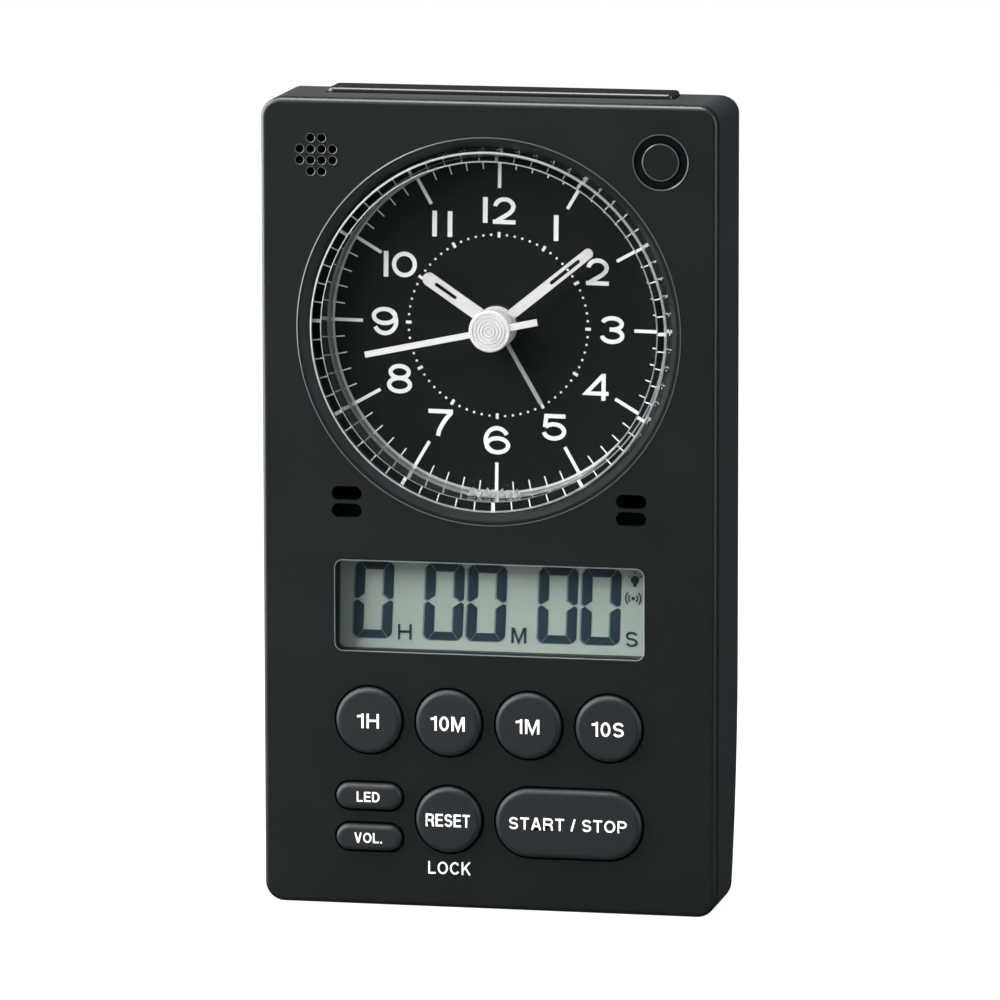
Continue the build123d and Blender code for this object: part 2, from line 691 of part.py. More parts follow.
hour_top = dial_depth - hour_height
with BuildPart() as hour_hand:
    blade(hour_length, hour_width, hour_height, hour_angle,
          (hour_slot_length, hour_slot_width, hour_slot_tip_gap))
    disc(hour_boss_radius, dial_centre, hour_top, hour_top + hand_thickness)
    disc(hour_pipe_radius, dial_centre, hour_top, hour_top + hand_thickness, mode=Mode.SUBTRACT)
hour_hand.part.label = "hour_hand"
export_step(hour_hand.part, "parts/hour_hand.step")

alarm_top = dial_depth - alarm_height
with BuildPart() as alarm_hand:
    blade(alarm_length, alarm_width, alarm_height, alarm_angle)
    disc(alarm_boss_radius, dial_centre, alarm_top, alarm_top + hand_thickness)
    disc(alarm_pipe_radius, dial_centre, alarm_top, alarm_top + hand_thickness, mode=Mode.SUBTRACT)
alarm_hand.part.label = "alarm_hand"
export_step(alarm_hand.part, "parts/alarm_hand.step")

# ---- Movement wheels ----
# The centre stack, from the outside in: alarm pipe, hour pipe, cannon pipe and second shaft.
cannon_phase = setting_direction
setting_phase = meshed_phase(cannon_teeth, cannon_phase, setting_direction, setting_teeth)
with BuildPart() as alarm_wheel:
    toothed(alarm_teeth, alarm_module, alarm_arbor_direction, dial_centre, alarm_layer)
    disc(alarm_pipe_radius, dial_centre, alarm_top, alarm_layer[0])
    disc(hour_pipe_radius + running_gap, dial_centre, alarm_top, alarm_layer[1], mode=Mode.SUBTRACT)
alarm_wheel.part.label = "alarm_wheel"
export_step(alarm_wheel.part, "parts/alarm_wheel.step")

with BuildPart() as hour_wheel:
    toothed(hour_teeth, hour_module, setting_direction, dial_centre, hour_layer)
    disc(hour_pipe_radius, dial_centre, hour_top, hour_layer[0])
    disc(minute_shaft_radius + running_gap, dial_centre, hour_top, hour_layer[1], mode=Mode.SUBTRACT)
hour_wheel.part.label = "hour_wheel"
export_step(hour_wheel.part, "parts/hour_wheel.step")

with BuildPart() as minute_wheel:
    toothed(minute_teeth, minute_module, third_direction, dial_centre, minute_layer)
    toothed(cannon_teeth, setting_module, cannon_phase, dial_centre, (setting_layer[0] - pinion_clearance, minute_layer[0]))
    disc(minute_shaft_radius, dial_centre, minute_top, minute_layer[0])
    disc(second_shaft_radius + running_gap, dial_centre, minute_top, minute_layer[1], mode=Mode.SUBTRACT)
minute_wheel.part.label = "minute_wheel"
export_step(minute_wheel.part, "parts/minute_wheel.step")

with BuildPart() as second_wheel:
    toothed(second_teeth, second_module, intermediate_direction, dial_centre, second_layer)
    toothed(second_pinion_teeth, third_module, third_direction, dial_centre, (third_layer[0] - pinion_clearance, second_layer[0]))
    disc(second_shaft_radius, dial_centre, second_boss_front + hub_thickness / 2, movement_back + cover_thickness / 2)
second_wheel.part.label = "second_wheel"
export_step(second_wheel.part, "parts/second_wheel.step")

with BuildPart() as third_wheel:
    toothed(third_teeth, third_module, meshed_phase(second_pinion_teeth, third_direction, third_direction, third_teeth),
            third_centre, third_layer, bore=pin_radius + running_gap)
    toothed(third_pinion_teeth, minute_module,
            meshed_phase(minute_teeth, third_direction, third_direction, third_pinion_teeth),
            third_centre, (minute_layer[0] - pinion_clearance, third_layer[0]), bore=pin_radius + running_gap)
third_wheel.part.label = "third_wheel"
export_step(third_wheel.part, "parts/third_wheel.step")

rotor_phase = meshed_phase(intermediate_teeth, rotor_direction, rotor_direction, rotor_teeth)
with BuildPart() as intermediate_wheel:
    toothed(intermediate_teeth, rotor_module, rotor_direction, intermediate_centre, intermediate_layer,
            bore=pin_radius + running_gap)
    toothed(intermediate_pinion_teeth, second_module,
            meshed_phase(second_teeth, intermediate_direction, intermediate_direction, intermediate_pinion_teeth),
            intermediate_centre, (second_layer[0] - pinion_clearance, intermediate_layer[0]), bore=pin_radius + running_gap)
intermediate_wheel.part.label = "intermediate_wheel"
export_step(intermediate_wheel.part, "parts/intermediate_wheel.step")

with BuildPart() as rotor:
    toothed(rotor_teeth, rotor_module, rotor_phase, rotor_centre, (setting_layer[1], intermediate_layer[1]),
            bore=pin_radius + running_gap)
    disc(rotor_radius, rotor_centre, setting_layer[1], third_layer[0], bore=pin_radius + running_gap)
rotor.part.label = "rotor"
export_step(rotor.part, "parts/rotor.step")

with BuildPart() as setting_wheel:
    toothed(setting_teeth, setting_module, setting_phase, setting_centre, setting_layer,
            bore=pin_radius + running_gap)
    toothed(hour_pinion_teeth, hour_module,
            meshed_phase(hour_teeth, setting_direction, setting_direction, hour_pinion_teeth),
            setting_centre, (hour_layer[0] - pinion_clearance, setting_layer[0]), bore=pin_radius + running_gap)
setting_wheel.part.label = "setting_wheel"
export_step(setting_wheel.part, "parts/setting_wheel.step")

# ---- Setting knobs ----
# Each knob is one moulding with its arbor; the gear at the far end meshes inside the movement.
knob_direction = degrees(atan2(time_arbor[1] - setting_centre[1], time_arbor[0] - setting_centre[0]))
knob_specs = (
    ("time_knob", time_arbor, knob_gear_teeth, setting_module, setting_layer,
     meshed_phase(setting_teeth, setting_phase, knob_direction, knob_gear_teeth)),
    ("alarm_knob", alarm_arbor, alarm_gear_teeth, alarm_module, alarm_layer,
     meshed_phase(alarm_teeth, alarm_arbor_direction, alarm_arbor_direction, alarm_gear_teeth)),
)
for knob_name, place, gear_teeth, gear_module, gear_layer, gear_phase in knob_specs:
    with BuildPart() as knob:
        toothed(gear_teeth, gear_module, gear_phase, place, gear_layer)
        disc(arbor_radius, place, gear_layer[1], well_floor + fit_gap)
        disc(knob_radius, place, well_floor + fit_gap, bulge_depth + knob_proud)
        fillet(knob.edges().group_by(Axis.Y)[-1], knob_edge)
        with BuildSketch(front(well_floor + fit_gap)) as ribs:
            with Locations(place):
                with PolarLocations(knob_radius, knob_ribs):
                    Circle(knob_rib_radius)
        extrude(ribs.sketch, amount=well_floor + fit_gap - bulge_depth - knob_edge)
    knob.part.label = knob_name
    export_step(knob.part, f"parts/{knob_name}.step")

# ---- Alarm switch ----
# Slider behind the rear shell, with a ribbed thumb piece that comes through the slot.
slider_back = bulge_depth - wall - fit_gap
thumb_back = bulge_depth + thumb_proud
with BuildPart() as alarm_switch:
    plate(thumb_width + 2 * thumb_flange_x, thumb_height + 2 * thumb_flange_z, (0, alarm_switch_z),
          slider_back - thumb_flange_thickness, slider_back)
    plate(thumb_width, thumb_height, (0, alarm_switch_z), slider_back, thumb_back)
    for groove in (-1, 0, 1):
        plate(thumb_groove_width, thumb_height, (thumb_groove_pitch * groove, alarm_switch_z),
              thumb_back - thumb_groove_depth, thumb_back, mode=Mode.SUBTRACT)
alarm_switch.part.label = "alarm_switch"
export_step(alarm_switch.part, "parts/alarm_switch.step")

# ---- Movement case ----
# Two mouldings that hold the pins of the wheels; the bushing passes through the dial.
pin_centres = (third_centre, intermediate_centre, rotor_centre)
with BuildPart() as movement_base:
    plate(movement_width, movement_height, dial_centre, movement_front, movement_back, movement_corner)
    plate(movement_width - 2 * movement_wall, movement_height - 2 * movement_wall, dial_centre,
          movement_front + movement_plate, movement_back, movement_inner_corner, Mode.SUBTRACT)
    for place in pin_centres:
        disc(pin_boss_radius, place, movement_front + movement_plate, hour_layer[0])
    disc(pin_boss_radius, setting_centre, movement_front + movement_plate, alarm_layer[1])
    disc(bushing_radius, dial_centre, dial_depth - bushing_proud, movement_front)
    disc(alarm_pipe_radius + running_gap, dial_centre, dial_depth - bushing_proud, alarm_layer[0],
         mode=Mode.SUBTRACT)
    for place in movement_corners:
        disc(movement_post_radius, place, movement_front, movement_back)
        disc(movement_screw_radius, place, movement_back - movement_screw_length, movement_back, mode=Mode.SUBTRACT)
    for place in pin_centres + (setting_centre,):
        disc(pin_radius, place, movement_front + movement_plate / 2, hour_layer[0], mode=Mode.SUBTRACT)
movement_base.part.label = "movement_base"
export_step(movement_base.part, "parts/movement_base.step")

cover_back = movement_back + cover_thickness
with BuildPart() as movement_cover:
    plate(movement_width, movement_height, dial_centre, movement_back, cover_back, movement_corner)
    for place in (time_arbor, alarm_arbor):
        disc(arbor_radius + running_gap, place, movement_back, cover_back, mode=Mode.SUBTRACT)
    disc(second_shaft_radius + running_gap, dial_centre, movement_back, cover_back, mode=Mode.SUBTRACT)
    for place in pin_centres:
        disc(pin_radius, place, movement_back, movement_back + cover_thickness / 2, mode=Mode.SUBTRACT)
    for place in movement_corners:
        disc(movement_screw_radius + running_gap, place, movement_back, cover_back, mode=Mode.SUBTRACT)
movement_cover.part.label = "movement_cover"
export_step(movement_cover.part, "parts/movement_cover.step")

with BuildPart() as movement_screws:
    for place in movement_corners:
        disc(movement_screw_head_radius, place, cover_back, cover_back + movement_screw_head)
        disc(movement_screw_radius, place, cover_back - movement_screw_length, cover_back)
        slot_across, slot_up, slot_sink = movement_screw_slot
        plate(slot_across, slot_up, place, cover_back + movement_screw_head - slot_sink,
              cover_back + movement_screw_head, mode=Mode.SUBTRACT)
movement_screws.part.label = "movement_screws"
export_step(movement_screws.part, "parts/movement_screws.step")

with BuildPart() as arbor_pins:
    for place in pin_centres:
        disc(pin_radius, place, movement_front + movement_plate / 2, movement_back + cover_thickness / 2)
    disc(pin_radius, setting_centre, movement_front + movement_plate / 2, setting_layer[1] + setting_pin_proud)
arbor_pins.part.label = "arbor_pins"
export_step(arbor_pins.part, "parts/arbor_pins.step")

# ---- Motor ----
# The stator's spine surrounds the rotor; its arms join the core that runs through the coil.
stator_front = setting_layer[1] + stator_gap
stator_layer = (stator_front, stator_front + stator_thickness)
with BuildPart() as stator:
    plate(stator_spine, stator_height, (stator_x, dial_z), *stator_layer)
    for up in (-1, 1):
        arm_centre = (stator_x + coil_offset / 2 + core_width / 4, dial_z + up * (stator_height - stator_arm) / 2)
        plate(coil_offset + core_width / 2, stator_arm, arm_centre, *stator_layer)
    plate(core_width, stator_height, (coil_x, dial_z), *stator_layer)
    disc(rotor_radius + fit_gap, rotor_centre, *stator_layer, mode=Mode.SUBTRACT)
stator.part.label = "stator"
export_step(stator.part, "parts/stator.step")

coil_depth = (stator_layer[0] + stator_layer[1]) / 2
with BuildPart() as coil:
    with BuildSketch(Plane.XY.offset(dial_z - coil_length / 2)) as winding:
        with Locations((coil_x, front_y + coil_depth)):
            Circle(coil_radius)
            Rectangle(core_width + running_gap, stator_thickness + running_gap, mode=Mode.SUBTRACT)
    extrude(winding.sketch, amount=coil_length)
    for end in (dial_z - coil_length / 2, dial_z + coil_length / 2 - coil_flange_thickness):
        with BuildSketch(Plane.XY.offset(end)) as flange:
            with Locations((coil_x, front_y + coil_depth)):
                Circle(coil_radius + coil_flange_width)
                Rectangle(core_width + running_gap, stator_thickness + running_gap, mode=Mode.SUBTRACT)
        extrude(flange.sketch, amount=coil_flange_thickness)
coil.part.label = "coil"
export_step(coil.part, "parts/coil.step")

# ---- Display ----
# Clear window in the panel, then the LCD in its frame with conductive strips to the board.
window_centre = (0, window_centre_z)
frame_front = panel_thickness + window_flange
with BuildPart() as display_window:
    plate(window_width - 2 * running_gap, window_height - 2 * running_gap, window_centre, window_sink,
          panel_thickness, window_corner - running_gap)
    plate(window_width + 2 * window_flange, window_height + 2 * window_flange, window_centre, panel_thickness,
          frame_front, window_corner)
    plate(window_width - 2 * window_flange, window_height - 2 * window_flange, window_centre,
          window_sink + window_plate, frame_front, mode=Mode.SUBTRACT)
display_window.part.label = "display_window"
export_step(display_window.part, "parts/display_window.step")

glass_width, glass_height = window_width + 2 * glass_margin_x, window_height + 2 * glass_margin_z
with BuildPart() as lcd_frame:
    plate(glass_width + 2 * lcd_frame_wall, glass_height + 2 * lcd_frame_wall, window_centre, frame_front,
          board_depth, lcd_frame_corner)
    plate(window_width - 2 * lcd_frame_lip, window_height - 2 * lcd_frame_lip, window_centre, frame_front,
          board_depth, lcd_frame_corner, Mode.SUBTRACT)
    plate(glass_width + fit_gap, glass_height + fit_gap, window_centre, display_depth, board_depth,
          mode=Mode.SUBTRACT)
lcd_frame.part.label = "lcd_frame"
export_step(lcd_frame.part, "parts/lcd_frame.step")

with BuildPart() as lcd_glass:
    plate(glass_width, glass_height, window_centre, display_depth, display_depth + glass_thickness)
lcd_glass.part.label = "lcd_glass"
export_step(lcd_glass.part, "parts/lcd_glass.step")

with BuildPart() as lcd_connectors:
    for up in (-1, 1):
        plate(glass_width - 2 * strip_end_gap, strip_width,
              (0, window_centre_z + up * (glass_height - strip_width) / 2),
              display_depth + glass_thickness, board_depth)
lcd_connectors.part.label = "lcd_connectors"
export_step(lcd_connectors.part, "parts/lcd_connectors.step")

# ---- Boards and switches ----
board_back = board_depth + board_thickness
with BuildPart() as main_board:
    plate(board_width, board_top - board_bottom, (0, (board_top + board_bottom) / 2), board_depth, board_back)
    for place in board_screw_places:
        disc(screw_shank_radius + running_gap, place, board_depth, board_back, mode=Mode.SUBTRACT)
main_board.part.label = "main_board"
export_step(main_board.part, "parts/main_board.step")

with BuildPart() as board_parts:
    plate(chip_size, chip_size, window_centre, board_depth - chip_height, board_depth)
    for across in resistor_places:
        plate(resistor_length, resistor_width, (across, window_centre_z), board_depth - resistor_height, board_depth)
    stadium(quartz_length, quartz_width, (quartz_x, window_centre_z), board_depth - quartz_height, board_depth)
board_parts.part.label = "board_parts"
export_step(board_parts.part, "parts/board_parts.step")

screws(board_screw_places, board_back + screw_head, board_screw_length, "board_screws")

with BuildPart() as key_switches:
    for place in key_places:
        switch_height = small_switch_height if place[0] == small_key_x else switch_size
        plate(switch_size, switch_height, place, board_depth - switch_body, board_depth)
        disc(plunger_radius, place, board_depth - switch_body - plunger_length, board_depth - switch_body)
key_switches.part.label = "key_switches"
export_step(key_switches.part, "parts/key_switches.step")

top_board_centre = (0, top_board_top - top_board_height / 2)
with BuildPart() as top_board:
    plate(top_board_width, top_board_height, top_board_centre, board_depth, board_back)
top_board.part.label = "top_board"
export_step(top_board.part, "parts/top_board.step")

switch_depth = (board_back, board_back + switch_size)
with BuildPart() as snooze_switch:
    plate(switch_size, switch_body, (0, snooze_switch_top - switch_body / 2), *switch_depth)
    with BuildSketch(Plane.XY.offset(snooze_switch_top)) as plunger:
        with Locations((0, front_y + board_back + switch_size / 2)):
            Circle(snooze_plunger_radius)
    extrude(plunger.sketch, amount=plunger_length)
snooze_switch.part.label = "snooze_switch"
export_step(snooze_switch.part, "parts/snooze_switch.step")

# ---- Light ring and speaker ----
lamp_centre = (corner_feature_x, corner_feature_z)
lamp_flange_back = panel_thickness + lamp_flange_thickness
lens_back = lamp_flange_back + lamp_flange_thickness
with BuildPart() as lamp_ring:
    disc(lamp_hole_radius - running_gap, lamp_centre, lamp_ring_sink, panel_thickness, bore=lamp_bore_radius)
    disc(lamp_hole_radius + lamp_flange_width, lamp_centre, panel_thickness, lamp_flange_back, bore=lamp_bore_radius)
lamp_ring.part.label = "lamp_ring"
export_step(lamp_ring.part, "parts/lamp_ring.step")

with BuildPart() as lamp_lens:
    disc(lamp_lens_radius, lamp_centre, 0, lamp_flange_back)
    fillet(lamp_lens.edges().group_by(Axis.Y)[0], lamp_lens_edge)
    disc(lamp_hole_radius, lamp_centre, lamp_flange_back, lens_back)
lamp_lens.part.label = "lamp_lens"
export_step(lamp_lens.part, "parts/lamp_lens.step")

with BuildPart() as lamp_led:
    disc(lamp_led_radius, lamp_centre, lens_back + lamp_led_gap, board_depth)
    disc(lamp_led_radius + lamp_led_rim_width, lamp_centre, board_depth - 2 * lamp_led_rim_gap,
         board_depth - lamp_led_rim_gap)
    fillet(lamp_led.edges().group_by(Axis.Y)[0], lamp_led_dome)
lamp_led.part.label = "lamp_led"
export_step(lamp_led.part, "parts/lamp_led.step")

speaker_centre = (-corner_feature_x, corner_feature_z)
speaker_front = panel_thickness + fit_gap
with BuildPart() as speaker:
    disc(speaker_radius, speaker_centre, speaker_front, speaker_front + speaker_thickness)
    disc(speaker_radius - speaker_rim, speaker_centre, speaker_front, speaker_front + speaker_cone_depth,
         bore=speaker_cap_radius, mode=Mode.SUBTRACT)
speaker.part.label = "speaker"
export_step(speaker.part, "parts/speaker.step")

# ---- Keys ----
# Soft-edged caps held behind the panel by a flange; each has a stem above its switch.
flange_front = panel_thickness + fit_gap
flange_back = flange_front + key_flange_thickness
stem_end = board_depth - switch_body - plunger_length - key_travel - press_gap
for key_name, place in round_keys.items():
    with BuildPart() as key:
        disc(key_radius, place, -key_proud, flange_back)
        fillet(key.edges().group_by(Axis.Y)[0], key_edge)
        disc(key_radius + key_skirt, place, flange_front, flange_back)
        disc(stem_radius, place, flange_back, stem_end)
    key.part.label = key_name
    export_step(key.part, f"parts/{key_name}.step")

for key_name, (place, length, height) in long_keys.items():
    with BuildPart() as key:
        stadium(length, height, place, -key_proud, flange_back)
        fillet(key.edges().group_by(Axis.Y)[0], key_edge)
        stadium(length + 2 * key_skirt, height + 2 * key_skirt, place, flange_front, flange_back)
        disc(long_key_stem_radius, place, flange_back, stem_end)
    key.part.label = key_name
    export_step(key.part, f"parts/{key_name}.step")

# ---- Batteries ----
# Two round cells lie across the bay, one each way round, with a spring at each flat end.
cell_start = bay_width / 2 - contact_thickness - fit_gap - cell_nub_length
bay_ends = ((-1, cell_heights[0]), (1, cell_heights[1]))


def crosswise(radius, x_from, x_to, height):
    """Adds a round bar along X at a height in the battery bay."""
    with BuildSketch(Plane.YZ.offset(x_from)) as end:
        with Locations((front_y + cell_depth, height)):
            Circle(radius)
    extrude(end.sketch, amount=x_to - x_from)


with BuildPart() as battery_cells:
    for nub_side, height in bay_ends:
        crosswise(cell_radius, nub_side * cell_start, nub_side * (cell_start - cell_length), height)
        crosswise(cell_nub_radius, nub_side * cell_start, nub_side * (cell_start + cell_nub_length), height)
battery_cells.part.label = "battery_cells"
export_step(battery_cells.part, "parts/battery_cells.step")

with BuildPart() as battery_contacts:
    for side in (-1, 1):
        for height in cell_heights:
            with BuildSketch(Plane.YZ.offset(side * (bay_width / 2 - contact_thickness))) as leaf:
                with Locations((front_y + cell_depth, height)):
                    Rectangle(contact_size, contact_size)
            extrude(leaf.sketch, amount=side * contact_thickness)
battery_contacts.part.label = "battery_contacts"
export_step(battery_contacts.part, "parts/battery_contacts.step")

with BuildPart() as battery_springs:
    for nub_side, height in bay_ends:
        foot = (-nub_side * (bay_width / 2 - contact_thickness - spring_wire), front_y + cell_depth, height)
        with BuildLine(mode=Mode.PRIVATE) as coil_line:
            Helix(pitch=spring_length / spring_turns, height=spring_length, radius=spring_radius,
                  center=foot, direction=(nub_side, 0, 0))
        with BuildSketch(Plane(origin=coil_line.wire() @ 0, z_dir=coil_line.wire() % 0)) as wire_end:
            Circle(spring_wire)
        sweep(wire_end.sketch, path=coil_line.wire(), is_frenet=True)
battery_springs.part.label = "battery_springs"
export_step(battery_springs.part, "parts/battery_springs.step")

# ---- Case screws ----
screws(case_screw_places, rear_depth - 2 * wall + screw_head, case_screw_length, "case_screws")
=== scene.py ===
from math import cos, pi, radians, sin

import bpy
from mathutils import Euler, Matrix, Vector


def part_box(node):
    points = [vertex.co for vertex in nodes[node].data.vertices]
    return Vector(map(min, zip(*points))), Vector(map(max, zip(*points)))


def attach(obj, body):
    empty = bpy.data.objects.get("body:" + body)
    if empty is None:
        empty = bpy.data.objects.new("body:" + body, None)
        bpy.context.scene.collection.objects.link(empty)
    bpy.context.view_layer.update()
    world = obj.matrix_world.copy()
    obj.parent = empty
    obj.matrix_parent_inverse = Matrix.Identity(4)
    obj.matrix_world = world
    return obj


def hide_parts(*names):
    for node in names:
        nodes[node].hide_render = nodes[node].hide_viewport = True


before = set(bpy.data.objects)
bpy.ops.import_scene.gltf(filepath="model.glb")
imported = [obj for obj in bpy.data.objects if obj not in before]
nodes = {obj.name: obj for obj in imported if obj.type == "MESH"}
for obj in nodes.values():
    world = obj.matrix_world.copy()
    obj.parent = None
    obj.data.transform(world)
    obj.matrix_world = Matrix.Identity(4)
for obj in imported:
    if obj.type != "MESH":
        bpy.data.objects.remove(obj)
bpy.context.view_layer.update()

mm = 0.001


# ---- Camera ----
# The clock is seen from the front, a little from its right and from above, through a long
# lens that keeps its edges nearly parallel.
bpy.ops.object.select_all(action="DESELECT")
panel_low, panel_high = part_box("front_panel")
panel_front = panel_low.y
camera_yaw, camera_pitch, camera_roll = radians(11.765), radians(9.206), radians(-0.109)
camera_place = Vector((293.13 * mm, panel_front - 1398.14 * mm, 299.11 * mm))
bpy.ops.object.camera_add(location=camera_place,
                          rotation=(pi / 2 - camera_pitch, 0, camera_yaw))
camera = bpy.context.object
camera_yawed = Euler((0, 0, camera_yaw)).to_matrix()
camera_pitched = Euler((pi / 2 - camera_pitch, 0, 0)).to_matrix()
camera_rolled = Euler((0, 0, camera_roll)).to_matrix()
camera.matrix_world = (Matrix.Translation(camera_place)
                       @ (camera_yawed @ camera_pitched @ camera_rolled).to_4x4())
camera.data.sensor_width = 36.0
camera.data.lens = 322.1
camera.data.clip_end = 50.0
bpy.context.scene.camera = camera


# ---- Studio ----
# A white room: a white sky that lights softly, a tall softbox at each side, a wide one
# overhead and one in front on the left. Gloss sees the softboxes and hardly any of the sky.
def softbox(name, place, aim, width, height, power):
    bpy.ops.object.light_add(type="AREA", location=place)
    lamp = bpy.context.object
    lamp.name = name
    lamp.rotation_euler = (Vector(aim) - Vector(place)).to_track_quat("-Z", "Y").to_euler()
    lamp.data.shape = "RECTANGLE"
    lamp.data.size, lamp.data.size_y = width, height
    lamp.data.energy = power


softbox("left_softbox", (-0.34, -0.02, 0.26), (0, 0.0, 0.18), 0.36, 0.56, 6.0)
softbox("front_softbox", (-0.80, -0.95, 0.75), (0, 0, 0.08), 0.45, 0.45, 10.5)
softbox("top_softbox", (-0.05, -0.02, 0.72), (0, -0.02, 0), 0.55, 0.40, 8.5)
softbox("right_softbox", (0.50, -0.08, 0.26), (0, -0.08, 0.26), 0.30, 0.50, 1.6)

sky = bpy.data.worlds.new("studio_sky")
bpy.context.scene.world = sky
sky.use_nodes = True
sky_nodes, sky_links = sky.node_tree.nodes, sky.node_tree.links
sky_nodes.clear()
sky_out = sky_nodes.new("ShaderNodeOutputWorld")
sky_rays = sky_nodes.new("ShaderNodeLightPath")
sky_seen, sky_gloss = sky_nodes.new("ShaderNodeMixShader"), sky_nodes.new("ShaderNodeMixShader")
sky_lit, sky_shown, sky_mirrored = ((0.94, 0.97, 1.0), 0.40), ((1, 1, 1), 1.0), ((0.75, 0.9, 1.0), 0.035)
sky_backgrounds = []
for tone, strength in (sky_lit, sky_shown, sky_mirrored):
    background = sky_nodes.new("ShaderNodeBackground")
    background.inputs["Color"].default_value = (*tone, 1)
    background.inputs["Strength"].default_value = strength
    sky_backgrounds.append(background.outputs["Background"])
sky_links.new(sky_rays.outputs["Is Camera Ray"], sky_seen.inputs["Fac"])
sky_links.new(sky_backgrounds[0], sky_seen.inputs[1])
sky_links.new(sky_backgrounds[1], sky_seen.inputs[2])
sky_links.new(sky_rays.outputs["Is Glossy Ray"], sky_gloss.inputs["Fac"])
sky_links.new(sky_seen.outputs["Shader"], sky_gloss.inputs[1])
sky_links.new(sky_backgrounds[2], sky_gloss.inputs[2])
sky_links.new(sky_gloss.outputs["Shader"], sky_out.inputs["Surface"])
bpy.context.scene.view_settings.view_transform = "Standard"


# ---- Moulded plastics ----
# The case is injection-moulded in black with a fine even grain. One group holds the grain;
# each plastic mixes it into its own colour, gloss and relief.
def moulded_grain_group():
    group = bpy.data.node_groups.new("moulded_grain", "ShaderNodeTree")
    group.interface.new_socket("Vector", in_out="INPUT", socket_type="NodeSocketVector")
    group.interface.new_socket("Grain per metre", in_out="INPUT", socket_type="NodeSocketFloat")
    group.interface.new_socket("Height", in_out="OUTPUT", socket_type="NodeSocketFloat")
    group.interface.new_socket("Patch", in_out="OUTPUT", socket_type="NodeSocketFloat")
    inside, links = group.nodes, group.links
    entry, leave = inside.new("NodeGroupInput"), inside.new("NodeGroupOutput")
    fine = inside.new("ShaderNodeTexNoise")
    fine.inputs["Detail"].default_value = 4.0
    fine.inputs["Roughness"].default_value = 0.6
    patch = inside.new("ShaderNodeTexNoise")
    patch.inputs["Scale"].default_value = 60.0
    patch.inputs["Detail"].default_value = 3.0
    links.new(entry.outputs["Vector"], fine.inputs["Vector"])
    links.new(entry.outputs["Vector"], patch.inputs["Vector"])
    links.new(entry.outputs["Grain per metre"], fine.inputs["Scale"])
    links.new(fine.outputs["Fac"], leave.inputs["Height"])
    links.new(patch.outputs["Fac"], leave.inputs["Patch"])
    return group


grain_group = moulded_grain_group()


def surface(name, colour, roughness, grain=3000.0, relief=0.02, shift=0.12, metallic=0.0, coat=0.0,
            specular=0.5, roughness_spread=0.06):
    """A solid finish: a base colour that varies a little, with grain in its gloss and relief."""
    material = bpy.data.materials.new(name)
    material.use_nodes = True
    tree, links = material.node_tree.nodes, material.node_tree.links
    shader = tree["Principled BSDF"]
    shader.inputs["Metallic"].default_value = metallic
    shader.inputs["Coat Weight"].default_value = coat
    shader.inputs["Coat Roughness"].default_value = 0.08
    shader.inputs["Specular IOR Level"].default_value = specular
    place = tree.new("ShaderNodeTexCoord")
    grain_node = tree.new("ShaderNodeGroup")
    grain_node.node_tree = grain_group
    grain_node.inputs["Grain per metre"].default_value = grain
    links.new(place.outputs["Object"], grain_node.inputs["Vector"])
    tint = tree.new("ShaderNodeMix")
    tint.data_type = "RGBA"
    darker = [channel * (1 - shift) for channel in colour]
    lighter = [min(1.0, channel * (1 + shift)) for channel in colour]
    tint.inputs[6].default_value = (*darker, 1)
    tint.inputs[7].default_value = (*lighter, 1)
    links.new(grain_node.outputs["Height"], tint.inputs[0])
    links.new(tint.outputs[2], shader.inputs["Base Color"])
    gloss = tree.new("ShaderNodeMapRange")
    gloss.inputs["To Min"].default_value = roughness - roughness_spread
    gloss.inputs["To Max"].default_value = roughness + roughness_spread
    links.new(grain_node.outputs["Patch"], gloss.inputs["Value"])
    links.new(gloss.outputs["Result"], shader.inputs["Roughness"])
    bump = tree.new("ShaderNodeBump")
    bump.inputs["Strength"].default_value = 0.5
    bump.inputs["Distance"].default_value = relief * mm
    links.new(grain_node.outputs["Height"], bump.inputs["Height"])
    links.new(bump.outputs["Normal"], shader.inputs["Normal"])
    return material


def paint(node_names, material):
    """Gives CAD nodes a finish in place of their plain one."""
    for node_name in node_names:
        mesh = nodes[node_name].data
        mesh.materials.clear()
        mesh.materials.append(material)


panel_satin = surface("panel_satin", (0.0046, 0.0074, 0.0077), 0.38, grain=4200.0, relief=0.012)
case_satin = surface("case_satin", (0.0135, 0.0165, 0.0175), 0.46, grain=4200.0, relief=0.014)
key_satin = surface("key_satin", (0.0075, 0.0110, 0.0130), 0.50, grain=5200.0, relief=0.010)
bar_gloss = surface("bar_gloss", (0.0120, 0.0130, 0.0140), 0.20, grain=2500.0, relief=0.004)
smoked_gloss = surface("smoked_gloss", (0.0040, 0.0045, 0.0050), 0.15, grain=2500.0, relief=0.002)
inner_black = surface("inner_black", (0.0120, 0.0125, 0.0130), 0.60, grain=2500.0, relief=0.02)
paint(["front_panel", "lamp_lens"], panel_satin)
paint(["front_case", "rear_case", "battery_door"], case_satin)
paint(["key_hour", "key_ten_minutes", "key_minute", "key_ten_seconds", "key_reset", "key_start_stop",
       "key_led", "key_volume", "time_knob", "alarm_knob", "alarm_switch"], key_satin)
paint(["snooze_bar"], bar_gloss)
paint(["lamp_ring"], smoked_gloss)
paint(["lcd_frame", "dial_carrier", "movement_base", "movement_cover", "speaker"], inner_black)


